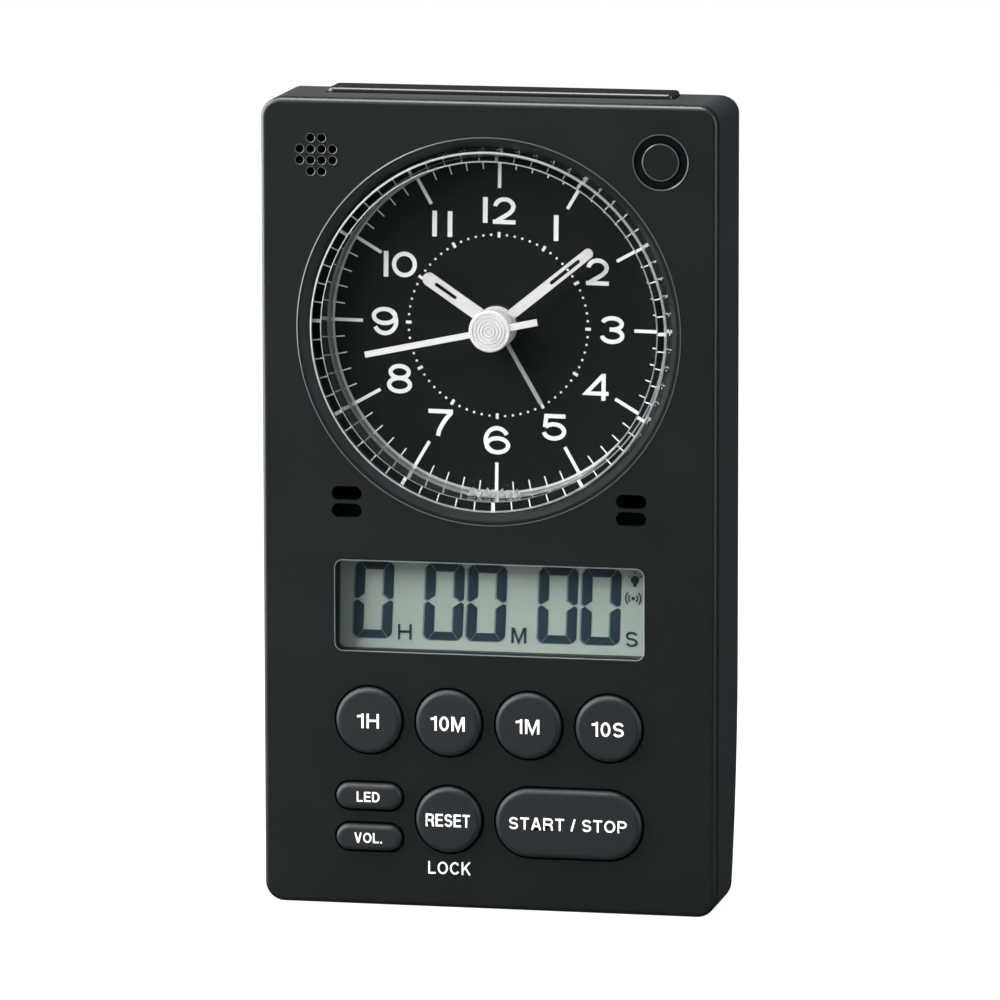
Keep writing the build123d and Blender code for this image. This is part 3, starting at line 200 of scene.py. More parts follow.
# ---- Inner metal and electronics ----
# What the closed case holds: zinc-plated screws, brass and acetal wheels, an enamelled
# copper coil, green boards and two sleeved cells.
plated_steel = surface("plated_steel", (0.55, 0.55, 0.57), 0.32, grain=1500.0, metallic=1.0)
wheel_brass = surface("wheel_brass", (0.72, 0.52, 0.22), 0.30, grain=1500.0, metallic=1.0)
wheel_acetal = surface("wheel_acetal", (0.72, 0.71, 0.66), 0.45, grain=1200.0)
coil_copper = surface("coil_copper", (0.58, 0.22, 0.09), 0.35, grain=5000.0, relief=0.05, metallic=0.7)
rotor_magnet = surface("rotor_magnet", (0.12, 0.12, 0.13), 0.4, grain=1500.0, metallic=0.8)
board_green = surface("board_green", (0.02, 0.12, 0.05), 0.35, grain=700.0, relief=0.03)
chip_black = surface("chip_black", (0.02, 0.02, 0.022), 0.5, grain=2500.0)
strip_pink = surface("strip_pink", (0.30, 0.16, 0.16), 0.7, grain=2500.0)
lamp_epoxy = surface("lamp_epoxy", (0.75, 0.76, 0.70), 0.15, grain=1500.0)
cell_sleeve = surface("cell_sleeve", (0.07, 0.09, 0.14), 0.30, grain=900.0, coat=0.5)
paint(["case_screws", "carrier_screws", "board_screws", "movement_screws", "arbor_pins", "stator",
       "battery_contacts", "battery_springs", "key_switches", "snooze_switch"], plated_steel)
paint(["minute_wheel"], wheel_brass)
paint(["alarm_wheel", "hour_wheel", "second_wheel", "third_wheel", "intermediate_wheel", "setting_wheel"],
      wheel_acetal)
paint(["coil"], coil_copper)
paint(["rotor"], rotor_magnet)
paint(["main_board", "top_board"], board_green)
paint(["board_parts"], chip_black)
paint(["lcd_connectors"], strip_pink)
paint(["lamp_led", "dial_leds"], lamp_epoxy)
paint(["battery_cells"], cell_sleeve)


# ---- Clear plastic ----
# Polished acrylic, moulded for the cup over the dial and cut for the window over the
# display. Its bevelled edges get a duller, greyer finish that is partly real frosting and partly painted
# highlight: it is lighter than clear acrylic so that the edges show as bright lines.
def clear_plastic(name, tint, roughness, transmission=1.0):
    """Glass-like acrylic that lets lamp light through to what it covers."""
    material = bpy.data.materials.new(name)
    material.use_nodes = True
    tree, links = material.node_tree.nodes, material.node_tree.links
    shader = tree["Principled BSDF"]
    shader.inputs["Base Color"].default_value = (*tint, 1)
    shader.inputs["Roughness"].default_value = roughness
    shader.inputs["IOR"].default_value = 1.49
    shader.inputs["Transmission Weight"].default_value = transmission
    place = tree.new("ShaderNodeTexCoord")
    ripple = tree.new("ShaderNodeTexNoise")
    ripple.inputs["Scale"].default_value = 40.0
    bump = tree.new("ShaderNodeBump")
    bump.inputs["Strength"].default_value = 0.03
    bump.inputs["Distance"].default_value = 0.02 * mm
    links.new(place.outputs["Object"], ripple.inputs["Vector"])
    links.new(ripple.outputs["Fac"], bump.inputs["Height"])
    links.new(bump.outputs["Normal"], shader.inputs["Normal"])
    rays, see_through = tree.new("ShaderNodeLightPath"), tree.new("ShaderNodeBsdfTransparent")
    mix = tree.new("ShaderNodeMixShader")
    links.new(rays.outputs["Is Shadow Ray"], mix.inputs["Fac"])
    links.new(shader.outputs["BSDF"], mix.inputs[1])
    links.new(see_through.outputs["BSDF"], mix.inputs[2])
    links.new(mix.outputs["Shader"], tree["Material Output"].inputs["Surface"])
    return material


acrylic = clear_plastic("acrylic", (0.97, 0.985, 0.98), 0.0)
window_acrylic = clear_plastic("window_acrylic", (0.93, 0.96, 0.95), 0.0)
# Edge finish: light grey and partly frosted, a painted highlight on bevels, the prism and the foot bead.
acrylic_edge_glint = clear_plastic("acrylic_edge_glint", (0.62, 0.66, 0.67), 0.28, transmission=0.72)
paint(["crystal"], acrylic)
paint(["display_window"], window_acrylic)


# ---- Dial ----
# A matt black disc, pad-printed in white: a minute track out to the rim, upright numerals,
# and an inner ring of dashes and dots for setting the alarm.
dial_black = surface("dial_black", (0.0042, 0.0056, 0.0056), 0.80, grain=5000.0, relief=0.004,
                     specular=0.15)
print_white = surface("print_white", (0.86, 0.86, 0.85), 0.55, grain=5000.0, relief=0.004, shift=0.03)
paint(["dial"], dial_black)
dial_low, dial_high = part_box("dial")
dial_front = dial_low.y
dial_centre = Vector(((dial_low.x + dial_high.x) / 2, 0, (dial_low.z + dial_high.z) / 2))
print_thickness = 0.03 * mm


def deselect():
    bpy.ops.object.select_all(action="DESELECT")


def print_block(width, length, x, z, angle, front_y):
    """One printed bar, its length along the clock angle's direction, as a thin block."""
    bpy.ops.mesh.primitive_cube_add(size=1, location=(x, front_y - print_thickness / 2, z),
                                    rotation=(0, angle, 0))
    block = bpy.context.object
    block.scale = (width, print_thickness, length)
    return block


def join(pieces, name, material, body):
    """Joins like pieces into one, with its place in its mesh, and lets it ride on a body."""
    deselect()
    for piece in pieces:
        piece.select_set(True)
    bpy.context.view_layer.objects.active = pieces[0]
    bpy.ops.object.transform_apply(location=True, rotation=True, scale=True)
    if len(pieces) > 1:
        bpy.ops.object.join()
    whole = bpy.context.object
    bpy.ops.object.origin_set(type="ORIGIN_CURSOR")
    whole.name = name
    whole.data.materials.clear()
    whole.data.materials.append(material)
    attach(whole, body)
    return whole


dial_turn = radians(0.7)


def turn_print(piece):
    """Turns a print a little about the dial's middle, as a dial sits within its seat's play."""
    piece.matrix_world = (Matrix.Translation(dial_centre) @ Matrix.Rotation(dial_turn, 4, "Y")
                          @ Matrix.Translation(-dial_centre))
    deselect()
    piece.select_set(True)
    bpy.context.view_layer.objects.active = piece
    bpy.ops.object.transform_apply(location=True, rotation=True, scale=True)


track_outer, hour_tick_inner, minute_tick_inner = 29.4 * mm, 22.7 * mm, 25.9 * mm
hour_tick_width, minute_tick_width = 0.55 * mm, 0.20 * mm
deselect()
ticks = []
for minute in range(60):
    angle = 2 * pi * minute / 60
    on_the_hour = minute % 5 == 0
    inner = hour_tick_inner if on_the_hour else minute_tick_inner
    width = hour_tick_width if on_the_hour else minute_tick_width
    middle = (inner + track_outer) / 2
    ticks.append(print_block(width, track_outer - inner, dial_centre.x + middle * sin(angle),
                             dial_centre.z + middle * cos(angle), angle, dial_front))
turn_print(join(ticks, "minute_track", print_white, "case"))

alarm_ring_radius, alarm_dot_radius = 15.0 * mm, 0.2 * mm
alarm_dash_length, alarm_dash_width = 0.92 * mm, 0.48 * mm
alarm_steps = 72
ring_marks = []
for step in range(alarm_steps):
    angle = 2 * pi * step / alarm_steps
    x = dial_centre.x + alarm_ring_radius * sin(angle)
    z = dial_centre.z + alarm_ring_radius * cos(angle)
    if step % 6 == 0:
        ring_marks.append(print_block(alarm_dash_width, alarm_dash_length, x, z, angle, dial_front))
    else:
        bpy.ops.mesh.primitive_cylinder_add(vertices=12, radius=alarm_dot_radius, depth=print_thickness,
                                            location=(x, dial_front - print_thickness / 2, z),
                                            rotation=(pi / 2, 0, 0))
        ring_marks.append(bpy.context.object)
turn_print(join(ring_marks, "alarm_ring_marks", print_white, "case"))


# ---- Crystal ----
# A moulded clear cup pressed in from behind: a flat front with a rounded rim, a deep wall
# down to the dial, and a flange that the dial's carrier clamps.
def choose(piece, kind, test):
    """Enters edit mode with only the faces or edges selected that pass the test."""
    if bpy.context.object.mode == "EDIT":
        bpy.ops.object.mode_set(mode="OBJECT")
    bpy.context.tool_settings.mesh_select_mode = (False, kind == "edges", kind == "faces")
    mesh = piece.data
    for group in (mesh.vertices, mesh.edges, mesh.polygons):
        for element in group:
            element.select = False
    for element in (mesh.edges if kind == "edges" else mesh.polygons):
        ends = [mesh.vertices[n].co for n in element.vertices]
        element.select = test(element, ends)
    bpy.ops.object.mode_set(mode="EDIT")


def from_centre(corner):
    return Vector((corner.x - dial_centre.x, corner.z - dial_centre.z)).length


crystal_low, crystal_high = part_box("crystal")
cup_front, cup_length = crystal_low.y, crystal_high.y - crystal_low.y
cup_radius, cup_wall, cup_plate, cup_edge = 29.4 * mm, 1.6 * mm, 1.2 * mm, 0.36 * mm
flange_radius, flange_front, flange_back = 31.0 * mm, panel_front + 2.0 * mm, panel_front + 3.0 * mm
near, crease = 0.02 * mm, radians(35)
round_steps = 256
deselect()
bpy.ops.mesh.primitive_cylinder_add(vertices=round_steps, radius=cup_radius, depth=cup_length,
                                    end_fill_type="NGON",
                                    location=(dial_centre.x, cup_front + cup_length / 2, dial_centre.z),
                                    rotation=(pi / 2, 0, 0))
cup = bpy.context.object
bpy.ops.object.transform_apply(location=True, rotation=True, scale=True)
cup.name = "crystal_cup"
cup.data.materials.append(acrylic)
cup.data.materials.append(acrylic_edge_glint)
choose(cup, "faces", lambda face, ends: face.normal.y > 0.9)
bpy.ops.mesh.inset(thickness=cup_wall, depth=0)
bpy.ops.mesh.extrude_region_move(TRANSFORM_OT_translate={"value": (0, cup_plate - cup_length, 0)})
# The rounded rim and the inner edges take the lighter edge finish, a painted highlight.
choose(cup, "edges", lambda edge, ends: all(abs(end.y - cup_front) < near
                                            and from_centre(end) > cup_radius - near for end in ends))
bpy.ops.mesh.bevel(offset=cup_edge, segments=6, profile=0.5, material=1)
choose(cup, "edges", lambda edge, ends: all(abs(end.y - cup_front - cup_plate) < near for end in ends))
bpy.ops.mesh.bevel(offset=0.20 * mm, segments=3, profile=0.5, material=1)
cup_inner = cup_radius - cup_wall
choose(cup, "edges", lambda edge, ends: all(abs(end.y - cup_front - cup_length) < near
                                            and from_centre(end) < cup_inner + near for end in ends))
bpy.ops.mesh.bevel(offset=0.22 * mm, segments=2, profile=0.5, material=1)
for level in (flange_front, flange_back):
    bpy.ops.mesh.select_all(action="SELECT")
    bpy.ops.mesh.bisect(plane_co=(0, level, 0), plane_no=(0, 1, 0))
choose(cup, "faces", lambda face, ends: flange_front - near < min(end.y for end in ends)
       and max(end.y for end in ends) < flange_back + near
       and min(from_centre(end) for end in ends) > cup_radius - near)
bpy.ops.mesh.extrude_region()
flange_scale = flange_radius / cup_radius
bpy.ops.transform.resize(value=(flange_scale, 1, flange_scale),
                         center_override=(dial_centre.x, flange_front, dial_centre.z))
bpy.ops.mesh.select_all(action="SELECT")
bpy.ops.mesh.normals_make_consistent(inside=False)
bpy.ops.object.mode_set(mode="OBJECT")
bpy.ops.object.shade_smooth_by_angle(angle=crease)
bpy.ops.object.origin_set(type="ORIGIN_CURSOR")
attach(cup, "case")
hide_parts("crystal")

# The light prism: a row of small teeth inside the cup at six o'clock, in the light grey edge finish, which
# stands in for their sparkle as a painted highlight.
teeth, tooth_pitch, tooth_height, tooth_depth = 7, 1.22 * mm, 0.62 * mm, 2.4 * mm
prism_middle, prism_drop = panel_front + 4.7 * mm, 27.0 * mm
tooth_pieces = []
for n in range(teeth):
    deselect()
    bpy.ops.mesh.primitive_cylinder_add(vertices=3, radius=tooth_height, depth=tooth_depth,
                                        location=(dial_centre.x + (n - (teeth - 1) / 2) * tooth_pitch,
                                                  prism_middle,
                                                  dial_centre.z - prism_drop),
                                        rotation=(pi / 2, radians(60 * (n % 2)), 0))
    tooth_pieces.append(bpy.context.object)
join(tooth_pieces, "light_prism", acrylic_edge_glint, "case")


# ---- Rims ----
# Crisp moulded lips: round the crystal's recess, on the lamp, round each sound hole, and a
# bead of edge acrylic where the cup meets the dial. Each is a shallow ring. Their slopes catch the lamps,
# and their finish is lighter than the panel's black, which adds a painted highlight.
# Painted highlight: the lips' colour is lighter than the panel plastic they are moulded in, so that their
# crests shine brighter.
rim_painted_sheen = surface("rim_painted_sheen", (0.055, 0.060, 0.062), 0.26, grain=3000.0, relief=0.002)


def lip(x, z, front_y, radius_foot, radius_crest, height, steps):
    """A sloping ring that rises from its foot on a face to its crest."""
    deselect()
    bpy.ops.mesh.primitive_cone_add(vertices=steps, radius1=radius_foot, radius2=radius_crest, depth=height,
                                    end_fill_type="NOTHING", location=(x, front_y - height / 2, z),
                                    rotation=(pi / 2, 0, 0))
    ring = bpy.context.object
    bpy.ops.object.mode_set(mode="EDIT")
    bpy.ops.mesh.select_all(action="SELECT")
    bpy.ops.mesh.solidify(thickness=-height / 3)
    bpy.ops.mesh.select_all(action="SELECT")
    bpy.ops.mesh.normals_make_consistent(inside=False)
    bpy.ops.object.mode_set(mode="OBJECT")
    bpy.ops.object.shade_smooth_by_angle(angle=crease)
    return ring


lip_height, recess_foot, recess_crest = 0.10 * mm, 31.68 * mm, 31.48 * mm
recess_lip = lip(dial_centre.x, dial_centre.z, panel_front, recess_foot, recess_crest, lip_height,
                 round_steps)
join([recess_lip], "recess_lip", rim_painted_sheen, "case")
# The foot bead takes the lighter edge finish: a painted highlight where the cup meets the dial.
bead_front, bead_foot, bead_height = dial_front - 1.5 * print_thickness, 27.42 * mm, 0.25 * mm
foot_bead = lip(dial_centre.x, dial_centre.z, bead_front, bead_foot, bead_foot + 0.36 * mm, bead_height,
                round_steps)
join([foot_bead], "cup_foot_bead", acrylic_edge_glint, "case")
lamp_low, lamp_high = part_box("lamp_lens")
lamp_x, lamp_z = (lamp_low.x + lamp_high.x) / 2, (lamp_low.z + lamp_high.z) / 2
disc_radius, well_radius, lamp_steps = 3.02 * mm, 4.38 * mm, 96
disc_lip = lip(lamp_x, lamp_z, lamp_low.y, disc_radius, disc_radius - 0.18 * mm, 0.09 * mm, lamp_steps)
join([disc_lip], "lamp_disc_lip", rim_painted_sheen, "case")
well_lip = lip(lamp_x, lamp_z, panel_front, well_radius, well_radius + 0.20 * mm, lip_height, lamp_steps)
join([well_lip], "lamp_well_lip", rim_painted_sheen, "case")
speaker_low, speaker_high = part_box("speaker")
hole_pitch, hole_radius = 1.81 * mm, 0.67 * mm
speaker_x, speaker_z = (speaker_low.x + speaker_high.x) / 2, (speaker_low.z + speaker_high.z) / 2
hole_lips = [lip(speaker_x + (column - 1.5) * hole_pitch, speaker_z + (row - 1.5) * hole_pitch, panel_front,
                 hole_radius, hole_radius + 0.12 * mm, 0.06 * mm, 32)
             for column in range(4) for row in range(4) if column in (1, 2) or row in (1, 2)]
join(hole_lips, "sound_hole_lips", rim_painted_sheen, "case")


# ---- Dial numerals ----
# Wide sans numerals in one even stroke with square ends, each stroke a run of straight lines
# and arcs in millimetres from the numeral's middle. Closed bowls are rings.
def arc(x, z, across, up, start, end, steps=28):
    """Points of an elliptical arc from start to end in degrees."""
    return [(x + across * cos(radians(start + (end - start) * n / steps)),
             z + up * sin(radians(start + (end - start) * n / steps))) for n in range(steps + 1)]


def turned(strokes):
    return [[(-across, -up) for across, up in points] for points in strokes]


nine_strokes = [arc(0.02, 0.0, 1.88, 2.0, 209, 450, 40), arc(-0.06, 0.84, 1.80, 1.16, 0, 360, 40)]
numeral_strokes = {
    "0": [arc(0, 0, 1.74, 1.76, 0, 360, 44)],
    "1": [[(0, -2.12), (0, 2.12)]],
    "2": [arc(0.03, 0.64, 1.50, 1.22, 178, 0) + [(1.36, 0.10), (0.86, -0.42), (0.05, -0.95), (-0.75, -1.42),
                                                (-1.42, -1.90)],
          [(-1.88, -1.88), (1.90, -1.88)]],
    "3": [arc(0.0, 1.02, 1.60, 0.94, 166, -90) + [(-0.42, 0.08)], arc(0.02, -0.93, 1.68, 1.01, 90, -176)],
    "4": [[(2.08, -1.06), (-1.66, -1.06), (1.12, 1.92)], [(1.24, 2.22), (1.24, -2.22)]],
    "5": [[(1.90, 1.84), (-1.28, 1.84), (-1.50, -0.02)], arc(0.0, -0.68, 1.70, 1.18, 145, -170)],
    "6": turned(nine_strokes),
    "7": [[(-2.06, 1.86), (2.06, 1.86)],
          [(1.74, 1.62), (1.40, 1.25), (0.80, 0.52), (0.25, -0.38), (-0.20, -1.28), (-0.42, -2.22)]],
    "8": [arc(0, 1.15, 1.52, 0.99, 0, 360, 40), arc(0, -0.96, 1.76, 1.10, 0, 360, 40)],
    "9": nine_strokes,
}
numeral_stroke, numeral_bar = 0.70 * mm, 0.78 * mm


def ribbon(points, width):
    """The two edges of a stroke of even width, mitred at its bends."""
    closed = (Vector(points[0]) - Vector(points[-1])).length < 1e-9
    line = [Vector(point) for point in (points[:-1] if closed else points)]
    edges = []
    for side in (width / 2, -width / 2):
        edge = []
        for n, point in enumerate(line):
            last = n == len(line) - 1
            before = (point - line[n - 1]).normalized() if n or closed else None
            after = (line[(n + 1) % len(line)] - point).normalized() if closed or not last else None
            before, after = before or after, after or before
            normal = (Vector((-before.y, before.x)) + Vector((-after.y, after.x))).normalized()
            reach = side / max(0.45, normal.dot(Vector((-after.y, after.x))))
            edge.append(point + normal * reach)
        edges.append(edge)
    return edges if closed else [edges[0] + edges[1][::-1]]


def flat_print(name, outlines, x, z, front_y, lift):
    """A thin printed shape: filled outlines that stand a hair off the face they are printed on."""
    curve = bpy.data.curves.new(name, "CURVE")
    curve.dimensions = "2D"
    curve.fill_mode = "BOTH"
    curve.extrude = (print_thickness / 2) * (1 + lift)
    for outline in outlines:
        line = curve.splines.new("POLY")
        line.points.add(len(outline) - 1)
        for point, corner in zip(line.points, outline):
            point.co = (corner[0], corner[1], 0, 1)
        line.use_cyclic_u = True
    piece = bpy.data.objects.new(name, curve)
    bpy.context.scene.collection.objects.link(piece)
    deselect()
    piece.select_set(True)
    bpy.context.view_layer.objects.active = piece
    bpy.ops.object.convert(target="MESH")
    piece = bpy.context.object
    piece.rotation_euler = (pi / 2, 0, 0)
    piece.location = (x, front_y - print_thickness / 2 * (1 + lift), z)
    bpy.ops.object.transform_apply(location=True, rotation=True, scale=True)
    return piece


numeral_radius, one_pitch, two_offset, zero_offset = 19.0 * mm, 1.29 * mm, 0.82 * mm, 0.66 * mm
pair_offsets = {10: (-2.42 * mm, zero_offset), 11: (-one_pitch, one_pitch), 12: (-2.34 * mm, two_offset)}
numeral_pieces = []
for hour in range(1, 13):
    middle_x = dial_centre.x + numeral_radius * sin(2 * pi * hour / 12)
    middle_z = dial_centre.z + numeral_radius * cos(2 * pi * hour / 12)
    for letter, offset in zip(str(hour), pair_offsets.get(hour, (0,))):
        for n, points in enumerate(numeral_strokes[letter]):
            line = [(across * mm, up * mm) for across, up in points]
            width = numeral_bar if letter == "1" else numeral_stroke
            numeral_pieces.append(flat_print("numeral_" + letter, ribbon(line, width), middle_x + offset,
                                             middle_z, dial_front, 0.15 * n))
turn_print(join(numeral_pieces, "dial_numerals", print_white, "case"))


# ---- Hands ----
# Stamped aluminium hands painted off-white; the alarm hand is silver grey. The second
# hand's cap has turned rings.
hand_paint = surface("hand_paint", (0.58, 0.575, 0.565), 0.38, grain=3000.0, relief=0.006, shift=0.02)
alarm_silver = surface("alarm_silver", (0.42, 0.42, 0.42), 0.35, grain=3000.0, relief=0.006, metallic=0.3)
paint(["hour_hand", "minute_hand", "second_hand"], hand_paint)
paint(["alarm_hand"], alarm_silver)


# ---- Display ----
# A reflective liquid-crystal cell: grey-green ground, near-black segments with slanted
# joints over their own soft shadow, unit letters, and two small signs for lamp and sound.
lcd_ground = surface("lcd_ground", (0.350, 0.405, 0.360), 0.5, grain=1800.0, relief=0.004, shift=0.06)
lcd_dark = surface("lcd_dark", (0.016, 0.032, 0.048), 0.35, grain=3000.0, relief=0.002, shift=0.08)
lcd_teal = surface("lcd_teal", (0.115, 0.205, 0.205), 0.5, grain=3000.0, relief=0.002, shift=0.08)
paint(["lcd_glass"], lcd_ground)
glass_low, glass_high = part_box("lcd_glass")
glass_front = glass_low.y
digit_lean, half_wide, half_tall, side_bar, top_bar, joint_gap = 0.036, 3.17, 6.10, 1.6, 1.28, 0.07


def zero_segments():
    """The six lit bars of a zero, as a display draws them: a blunt bar at the top and at the
    bottom, and two pointed bars down each side that meet at the middle."""
    bars = []
    for flip in (1, -1):
        bars.append([(-half_wide + 0.75, flip * half_tall), (half_wide - 0.75, flip * half_tall),
                     (half_wide - side_bar - 0.10, flip * (half_tall - top_bar)),
                     (-half_wide + side_bar + 0.10, flip * (half_tall - top_bar))])
        for side in (-1, 1):
            bars.append([(side * (half_wide - 0.62), flip * (half_tall - joint_gap)),
                         (side * half_wide, flip * (half_tall - 0.80)),
                         (side * half_wide, flip * (joint_gap + 0.32)),
                         (side * (half_wide - side_bar * 0.3), flip * joint_gap),
                         (side * (half_wide - side_bar), flip * (joint_gap + 0.78)),
                         (side * (half_wide - side_bar), flip * (half_tall - top_bar - 0.05))])
    return [[((across + digit_lean * up) * mm, up * mm) for across, up in bar] for bar in bars]


digit_places, digit_z = (-19.98, -8.34, -1.33, 10.37, 17.46), 49.77
shadow_shift, shadow_drop = -0.28, 0.14
sign_front = glass_front - 1.6 * print_thickness
for layer_name, shift_x, drop, layer_front, layer_material in (
        ("lcd_shadow", shadow_shift, shadow_drop, glass_front, lcd_teal),
        ("lcd_digits", 0.0, 0.0, sign_front, lcd_dark)):
    bars = [flat_print("digit", [bar], (place + shift_x) * mm, (digit_z - drop) * mm, layer_front, 0.0)
            for place in digit_places for bar in zero_segments()]
    join(bars, layer_name, layer_material, "case")

bulb_x, bulb_z, sound_x, sound_z = 23.0 * mm, 54.25 * mm, 22.7 * mm, 51.29 * mm


def sized(points):
    """Points in millimetres, as points in metres."""
    return [(across * mm, up * mm) for across, up in points]


signs = [flat_print("bulb", [sized(arc(0, 0, 0.68, 0.68, 0, 345, 23))], bulb_x, bulb_z, sign_front, 0.0),
         flat_print("bulb_base", ribbon(sized([(-0.3, -0.85), (0.3, -0.85)]), 0.5 * mm), bulb_x, bulb_z,
                    sign_front, 0.0),
         flat_print("sound_dot", [sized(arc(0, 0, 0.3, 0.3, 0, 345, 23))], sound_x, sound_z, sign_front,
                    0.0)]
for turn in (30, 90, 150):
    ray_line = sized([(radius * cos(radians(turn)), radius * sin(radians(turn))) for radius in (0.95, 1.3)])
    signs.append(flat_print("bulb_ray", ribbon(ray_line, 0.18 * mm), bulb_x, bulb_z, sign_front, 0.0))
for radius in (0.72, 1.25):
    for turn in (0, 180):
        bow = sized(arc(0, 0, radius, radius, turn - 48, turn + 48, 16))
        signs.append(flat_print("sound_bow", ribbon(bow, 0.22 * mm), sound_x, sound_z, sign_front, 0.0))
join(signs, "lcd_signs", lcd_dark, "case")


# ---- Display window ----
# A thin clear plate over the display, cut from acrylic sheet with rounded corners and a
# polished rim, and set into the panel.
window_low, window_high = panel_front + 0.1 * mm, panel_front + 0.95 * mm
window_width, window_height, window_middle, window_corner = 51.4 * mm, 15.15 * mm, 49.5 * mm, 1.45 * mm
deselect()
bpy.ops.mesh.primitive_cube_add(size=1, location=(0, (window_low + window_high) / 2, window_middle),
                                scale=(window_width, window_high - window_low, window_height))
window = bpy.context.object
bpy.ops.object.transform_apply(location=True, rotation=True, scale=True)
window.name = "window_plate"
window.data.materials.append(window_acrylic)
window.data.materials.append(acrylic_edge_glint)
choose(window, "edges", lambda edge, ends: abs(ends[0].y - ends[1].y) > 0.5 * mm)
bpy.ops.mesh.bevel(offset=window_corner, segments=10, profile=0.5)
# The plate's back rim takes the lighter edge finish, a painted highlight.
choose(window, "edges", lambda edge, ends: all(abs(end.y - window_low) < near for end in ends))
bpy.ops.mesh.bevel(offset=0.16 * mm, segments=3, profile=0.5, material=1)
bpy.ops.object.mode_set(mode="OBJECT")
bpy.ops.object.shade_smooth_by_angle(angle=crease)
bpy.ops.object.origin_set(type="ORIGIN_CURSOR")
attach(window, "case")
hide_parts("display_window")


# ---- Lettering ----
# Legends are pad-printed in white in an even sans: each letter is a few strokes in a box one
# high, with its own width. The display's unit letters are printed the same way, in dark.
letter_gap = 0.15
letter_strokes = {
    "0": (0.64, [arc(0.32, 0.5, 0.24, 0.42, 0, 360, 32)]),
    "1": (0.42, [[(0.34, 0), (0.34, 1)], [(0.02, 0.80), (0.34, 0.86)]]),
    "A": (0.76, [[(0.07, 0), (0.34, 0.94), (0.42, 0.94), (0.69, 0)], [(0.16, 0.31), (0.60, 0.31)]]),
    "C": (0.78, [arc(0.41, 0.5, 0.33, 0.42, 38, 322)]),
    "D": (0.76, [[(0.08, 0.92), (0.32, 0.92)] + arc(0.32, 0.5, 0.36, 0.42, 90, -90, 20)[1:]
                 + [(0.08, 0.08), (0.08, 0.92)]]),
    "E": (0.68, [[(0.66, 0.92), (0.08, 0.92), (0.08, 0.08), (0.68, 0.08)], [(0.08, 0.52), (0.62, 0.52)]]),
    "H": (0.76, [[(0.08, 0), (0.08, 1)], [(0.68, 0), (0.68, 1)], [(0.08, 0.52), (0.68, 0.52)]]),
    "K": (0.74, [[(0.08, 0), (0.08, 1)], [(0.66, 1), (0.10, 0.38)], [(0.30, 0.58), (0.67, 0)]]),
    "L": (0.60, [[(0.08, 1), (0.08, 0.08), (0.60, 0.08)]]),
    "M": (0.88, [[(0.08, 0), (0.08, 1)], [(0.80, 0), (0.80, 1)],
                 [(0.13, 0.98), (0.44, 0.06), (0.75, 0.98)]]),
    "O": (0.84, [arc(0.42, 0.5, 0.34, 0.42, 0, 360, 36)]),
    "P": (0.70, [[(0.08, 0), (0.08, 0.92), (0.40, 0.92)] + arc(0.40, 0.69, 0.22, 0.23, 90, -90, 16)[1:]
                 + [(0.08, 0.46)]]),
    "R": (0.76, [[(0.08, 0), (0.08, 0.92), (0.44, 0.92)] + arc(0.44, 0.70, 0.22, 0.22, 90, -90, 16)[1:]
                 + [(0.08, 0.48)],
                 [(0.48, 0.46), (0.62, 0.34), (0.67, 0)]]),
    "S": (0.70, [arc(0.35, 0.71, 0.26, 0.21, 12, 270, 24) + arc(0.35, 0.29, 0.27, 0.21, 90, -165, 24)[1:]]),
    "T": (0.66, [[(0, 0.92), (0.66, 0.92)], [(0.33, 0.92), (0.33, 0)]]),
    "V": (0.72, [[(0.07, 1), (0.33, 0.06), (0.39, 0.06), (0.65, 1)]]),
    "/": (0.34, [[(0.04, 0), (0.30, 1)]]),
    ".": (0.18, [[(0.09, 0), (0.09, 0.17)]]),
    " ": (0.20, []),
}


def legend(name, words, height, width, x, z, front_y, material, body, weight=0.152):
    """Prints words centred at a place, as tall and as wide as asked, on a face that looks to the front."""
    total = sum(letter_strokes[letter][0] for letter in words) + letter_gap * (len(words) - 1)
    spread, left, pieces = width / total, 0.0, []
    for letter in words:
        advance, strokes = letter_strokes[letter]
        for n, points in enumerate(strokes):
            line = [((left + across) * spread - width / 2, (up - 0.5) * height) for across, up in points]
            pieces.append(flat_print(name, ribbon(line, weight * height), x, z, front_y, 0.15 * n))
        left += advance + letter_gap
    return join(pieces, name, material, body)


def key_face(key_name):
    """Centre and front face of a key's cap."""
    low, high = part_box(key_name)
    return (low.x + high.x) / 2, (low.z + high.z) / 2, low.y


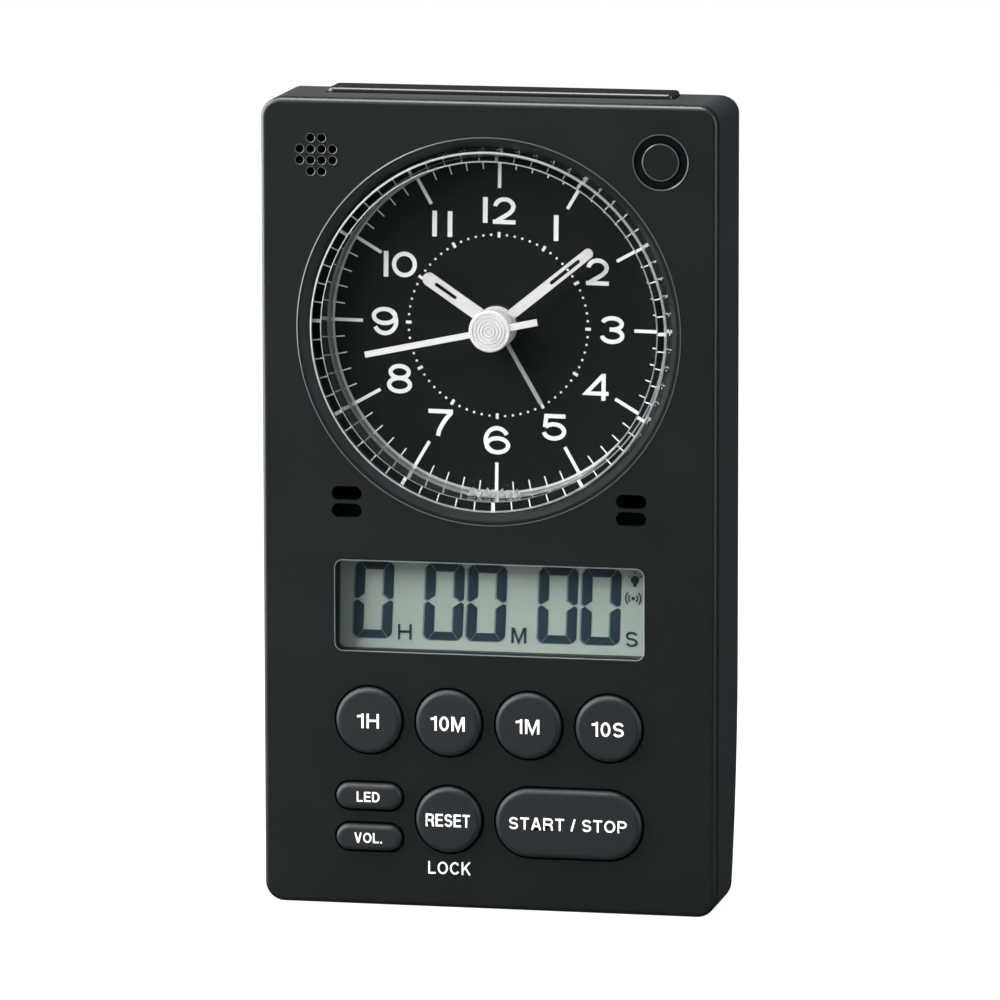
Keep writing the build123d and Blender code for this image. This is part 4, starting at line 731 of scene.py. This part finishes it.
key_legends = (("key_hour", "1H", 2.4, 3.7), ("key_ten_minutes", "10M", 2.4, 5.7),
               ("key_minute", "1M", 2.4, 4.0), ("key_ten_seconds", "10S", 2.4, 5.35),
               ("key_reset", "RESET", 2.1, 7.3),
               ("key_start_stop", "START / STOP", 2.0, 19.5), ("key_led", "LED", 1.67, 3.8),
               ("key_volume", "VOL.", 1.67, 4.6))
for key_name, words, height, width in key_legends:
    x, z, face = key_face(key_name)
    legend(key_name + "_legend", words, height * mm, width * mm, x, z, face, print_white, key_name + "_body")
legend("lock_legend", "LOCK", 2.1 * mm, 7.1 * mm, -6.6 * mm, 6.6 * mm, panel_front, print_white, "case",
       weight=0.135)
unit_tall, unit_z = 2.48 * mm, 44.74 * mm
for unit, unit_x, unit_wide in (("H", -14.86, 2.38), ("M", 3.91, 2.52), ("S", 22.43, 2.07)):
    legend("unit_" + unit, unit, unit_tall, unit_wide * mm, unit_x * mm, unit_z, sign_front, lcd_dark,
           "case", weight=0.15)


# ---- Floor ----
# A plain pale sheet that runs out past the view on every side. It glows a little, as a
# light table does, so that it stays white, and gloss on the clock mirrors it only faintly.
floor_pale = surface("floor_pale", (0.80, 0.80, 0.80), 0.7, grain=30.0, relief=0.01, shift=0.01)
floor_nodes, floor_links = floor_pale.node_tree.nodes, floor_pale.node_tree.links
floor_rays = floor_nodes.new("ShaderNodeLightPath")
floor_glow, floor_dark = floor_nodes.new("ShaderNodeEmission"), floor_nodes.new("ShaderNodeEmission")
floor_glow.inputs["Strength"].default_value = 1.15
floor_dark.inputs["Color"].default_value = (0.75, 0.9, 1.0, 1)
floor_dark.inputs["Strength"].default_value = 0.03
floor_lit = floor_nodes.new("ShaderNodeMixShader")
floor_seen, floor_gloss = floor_nodes.new("ShaderNodeMixShader"), floor_nodes.new("ShaderNodeMixShader")
floor_lit.inputs["Fac"].default_value = 0.82
floor_paint = floor_nodes["Principled BSDF"].outputs["BSDF"]
floor_links.new(floor_paint, floor_lit.inputs[1])
floor_links.new(floor_glow.outputs["Emission"], floor_lit.inputs[2])
floor_links.new(floor_rays.outputs["Is Camera Ray"], floor_seen.inputs["Fac"])
floor_links.new(floor_paint, floor_seen.inputs[1])
floor_links.new(floor_lit.outputs["Shader"], floor_seen.inputs[2])
floor_links.new(floor_rays.outputs["Is Glossy Ray"], floor_gloss.inputs["Fac"])
floor_links.new(floor_seen.outputs["Shader"], floor_gloss.inputs[1])
floor_links.new(floor_dark.outputs["Emission"], floor_gloss.inputs[2])
floor_links.new(floor_gloss.outputs["Shader"], floor_nodes["Material Output"].inputs["Surface"])
deselect()
bpy.ops.mesh.primitive_plane_add(size=24, location=(0, 6.0, 0))
floor = bpy.context.object
floor.name = "floor"
floor.data.materials.append(floor_pale)
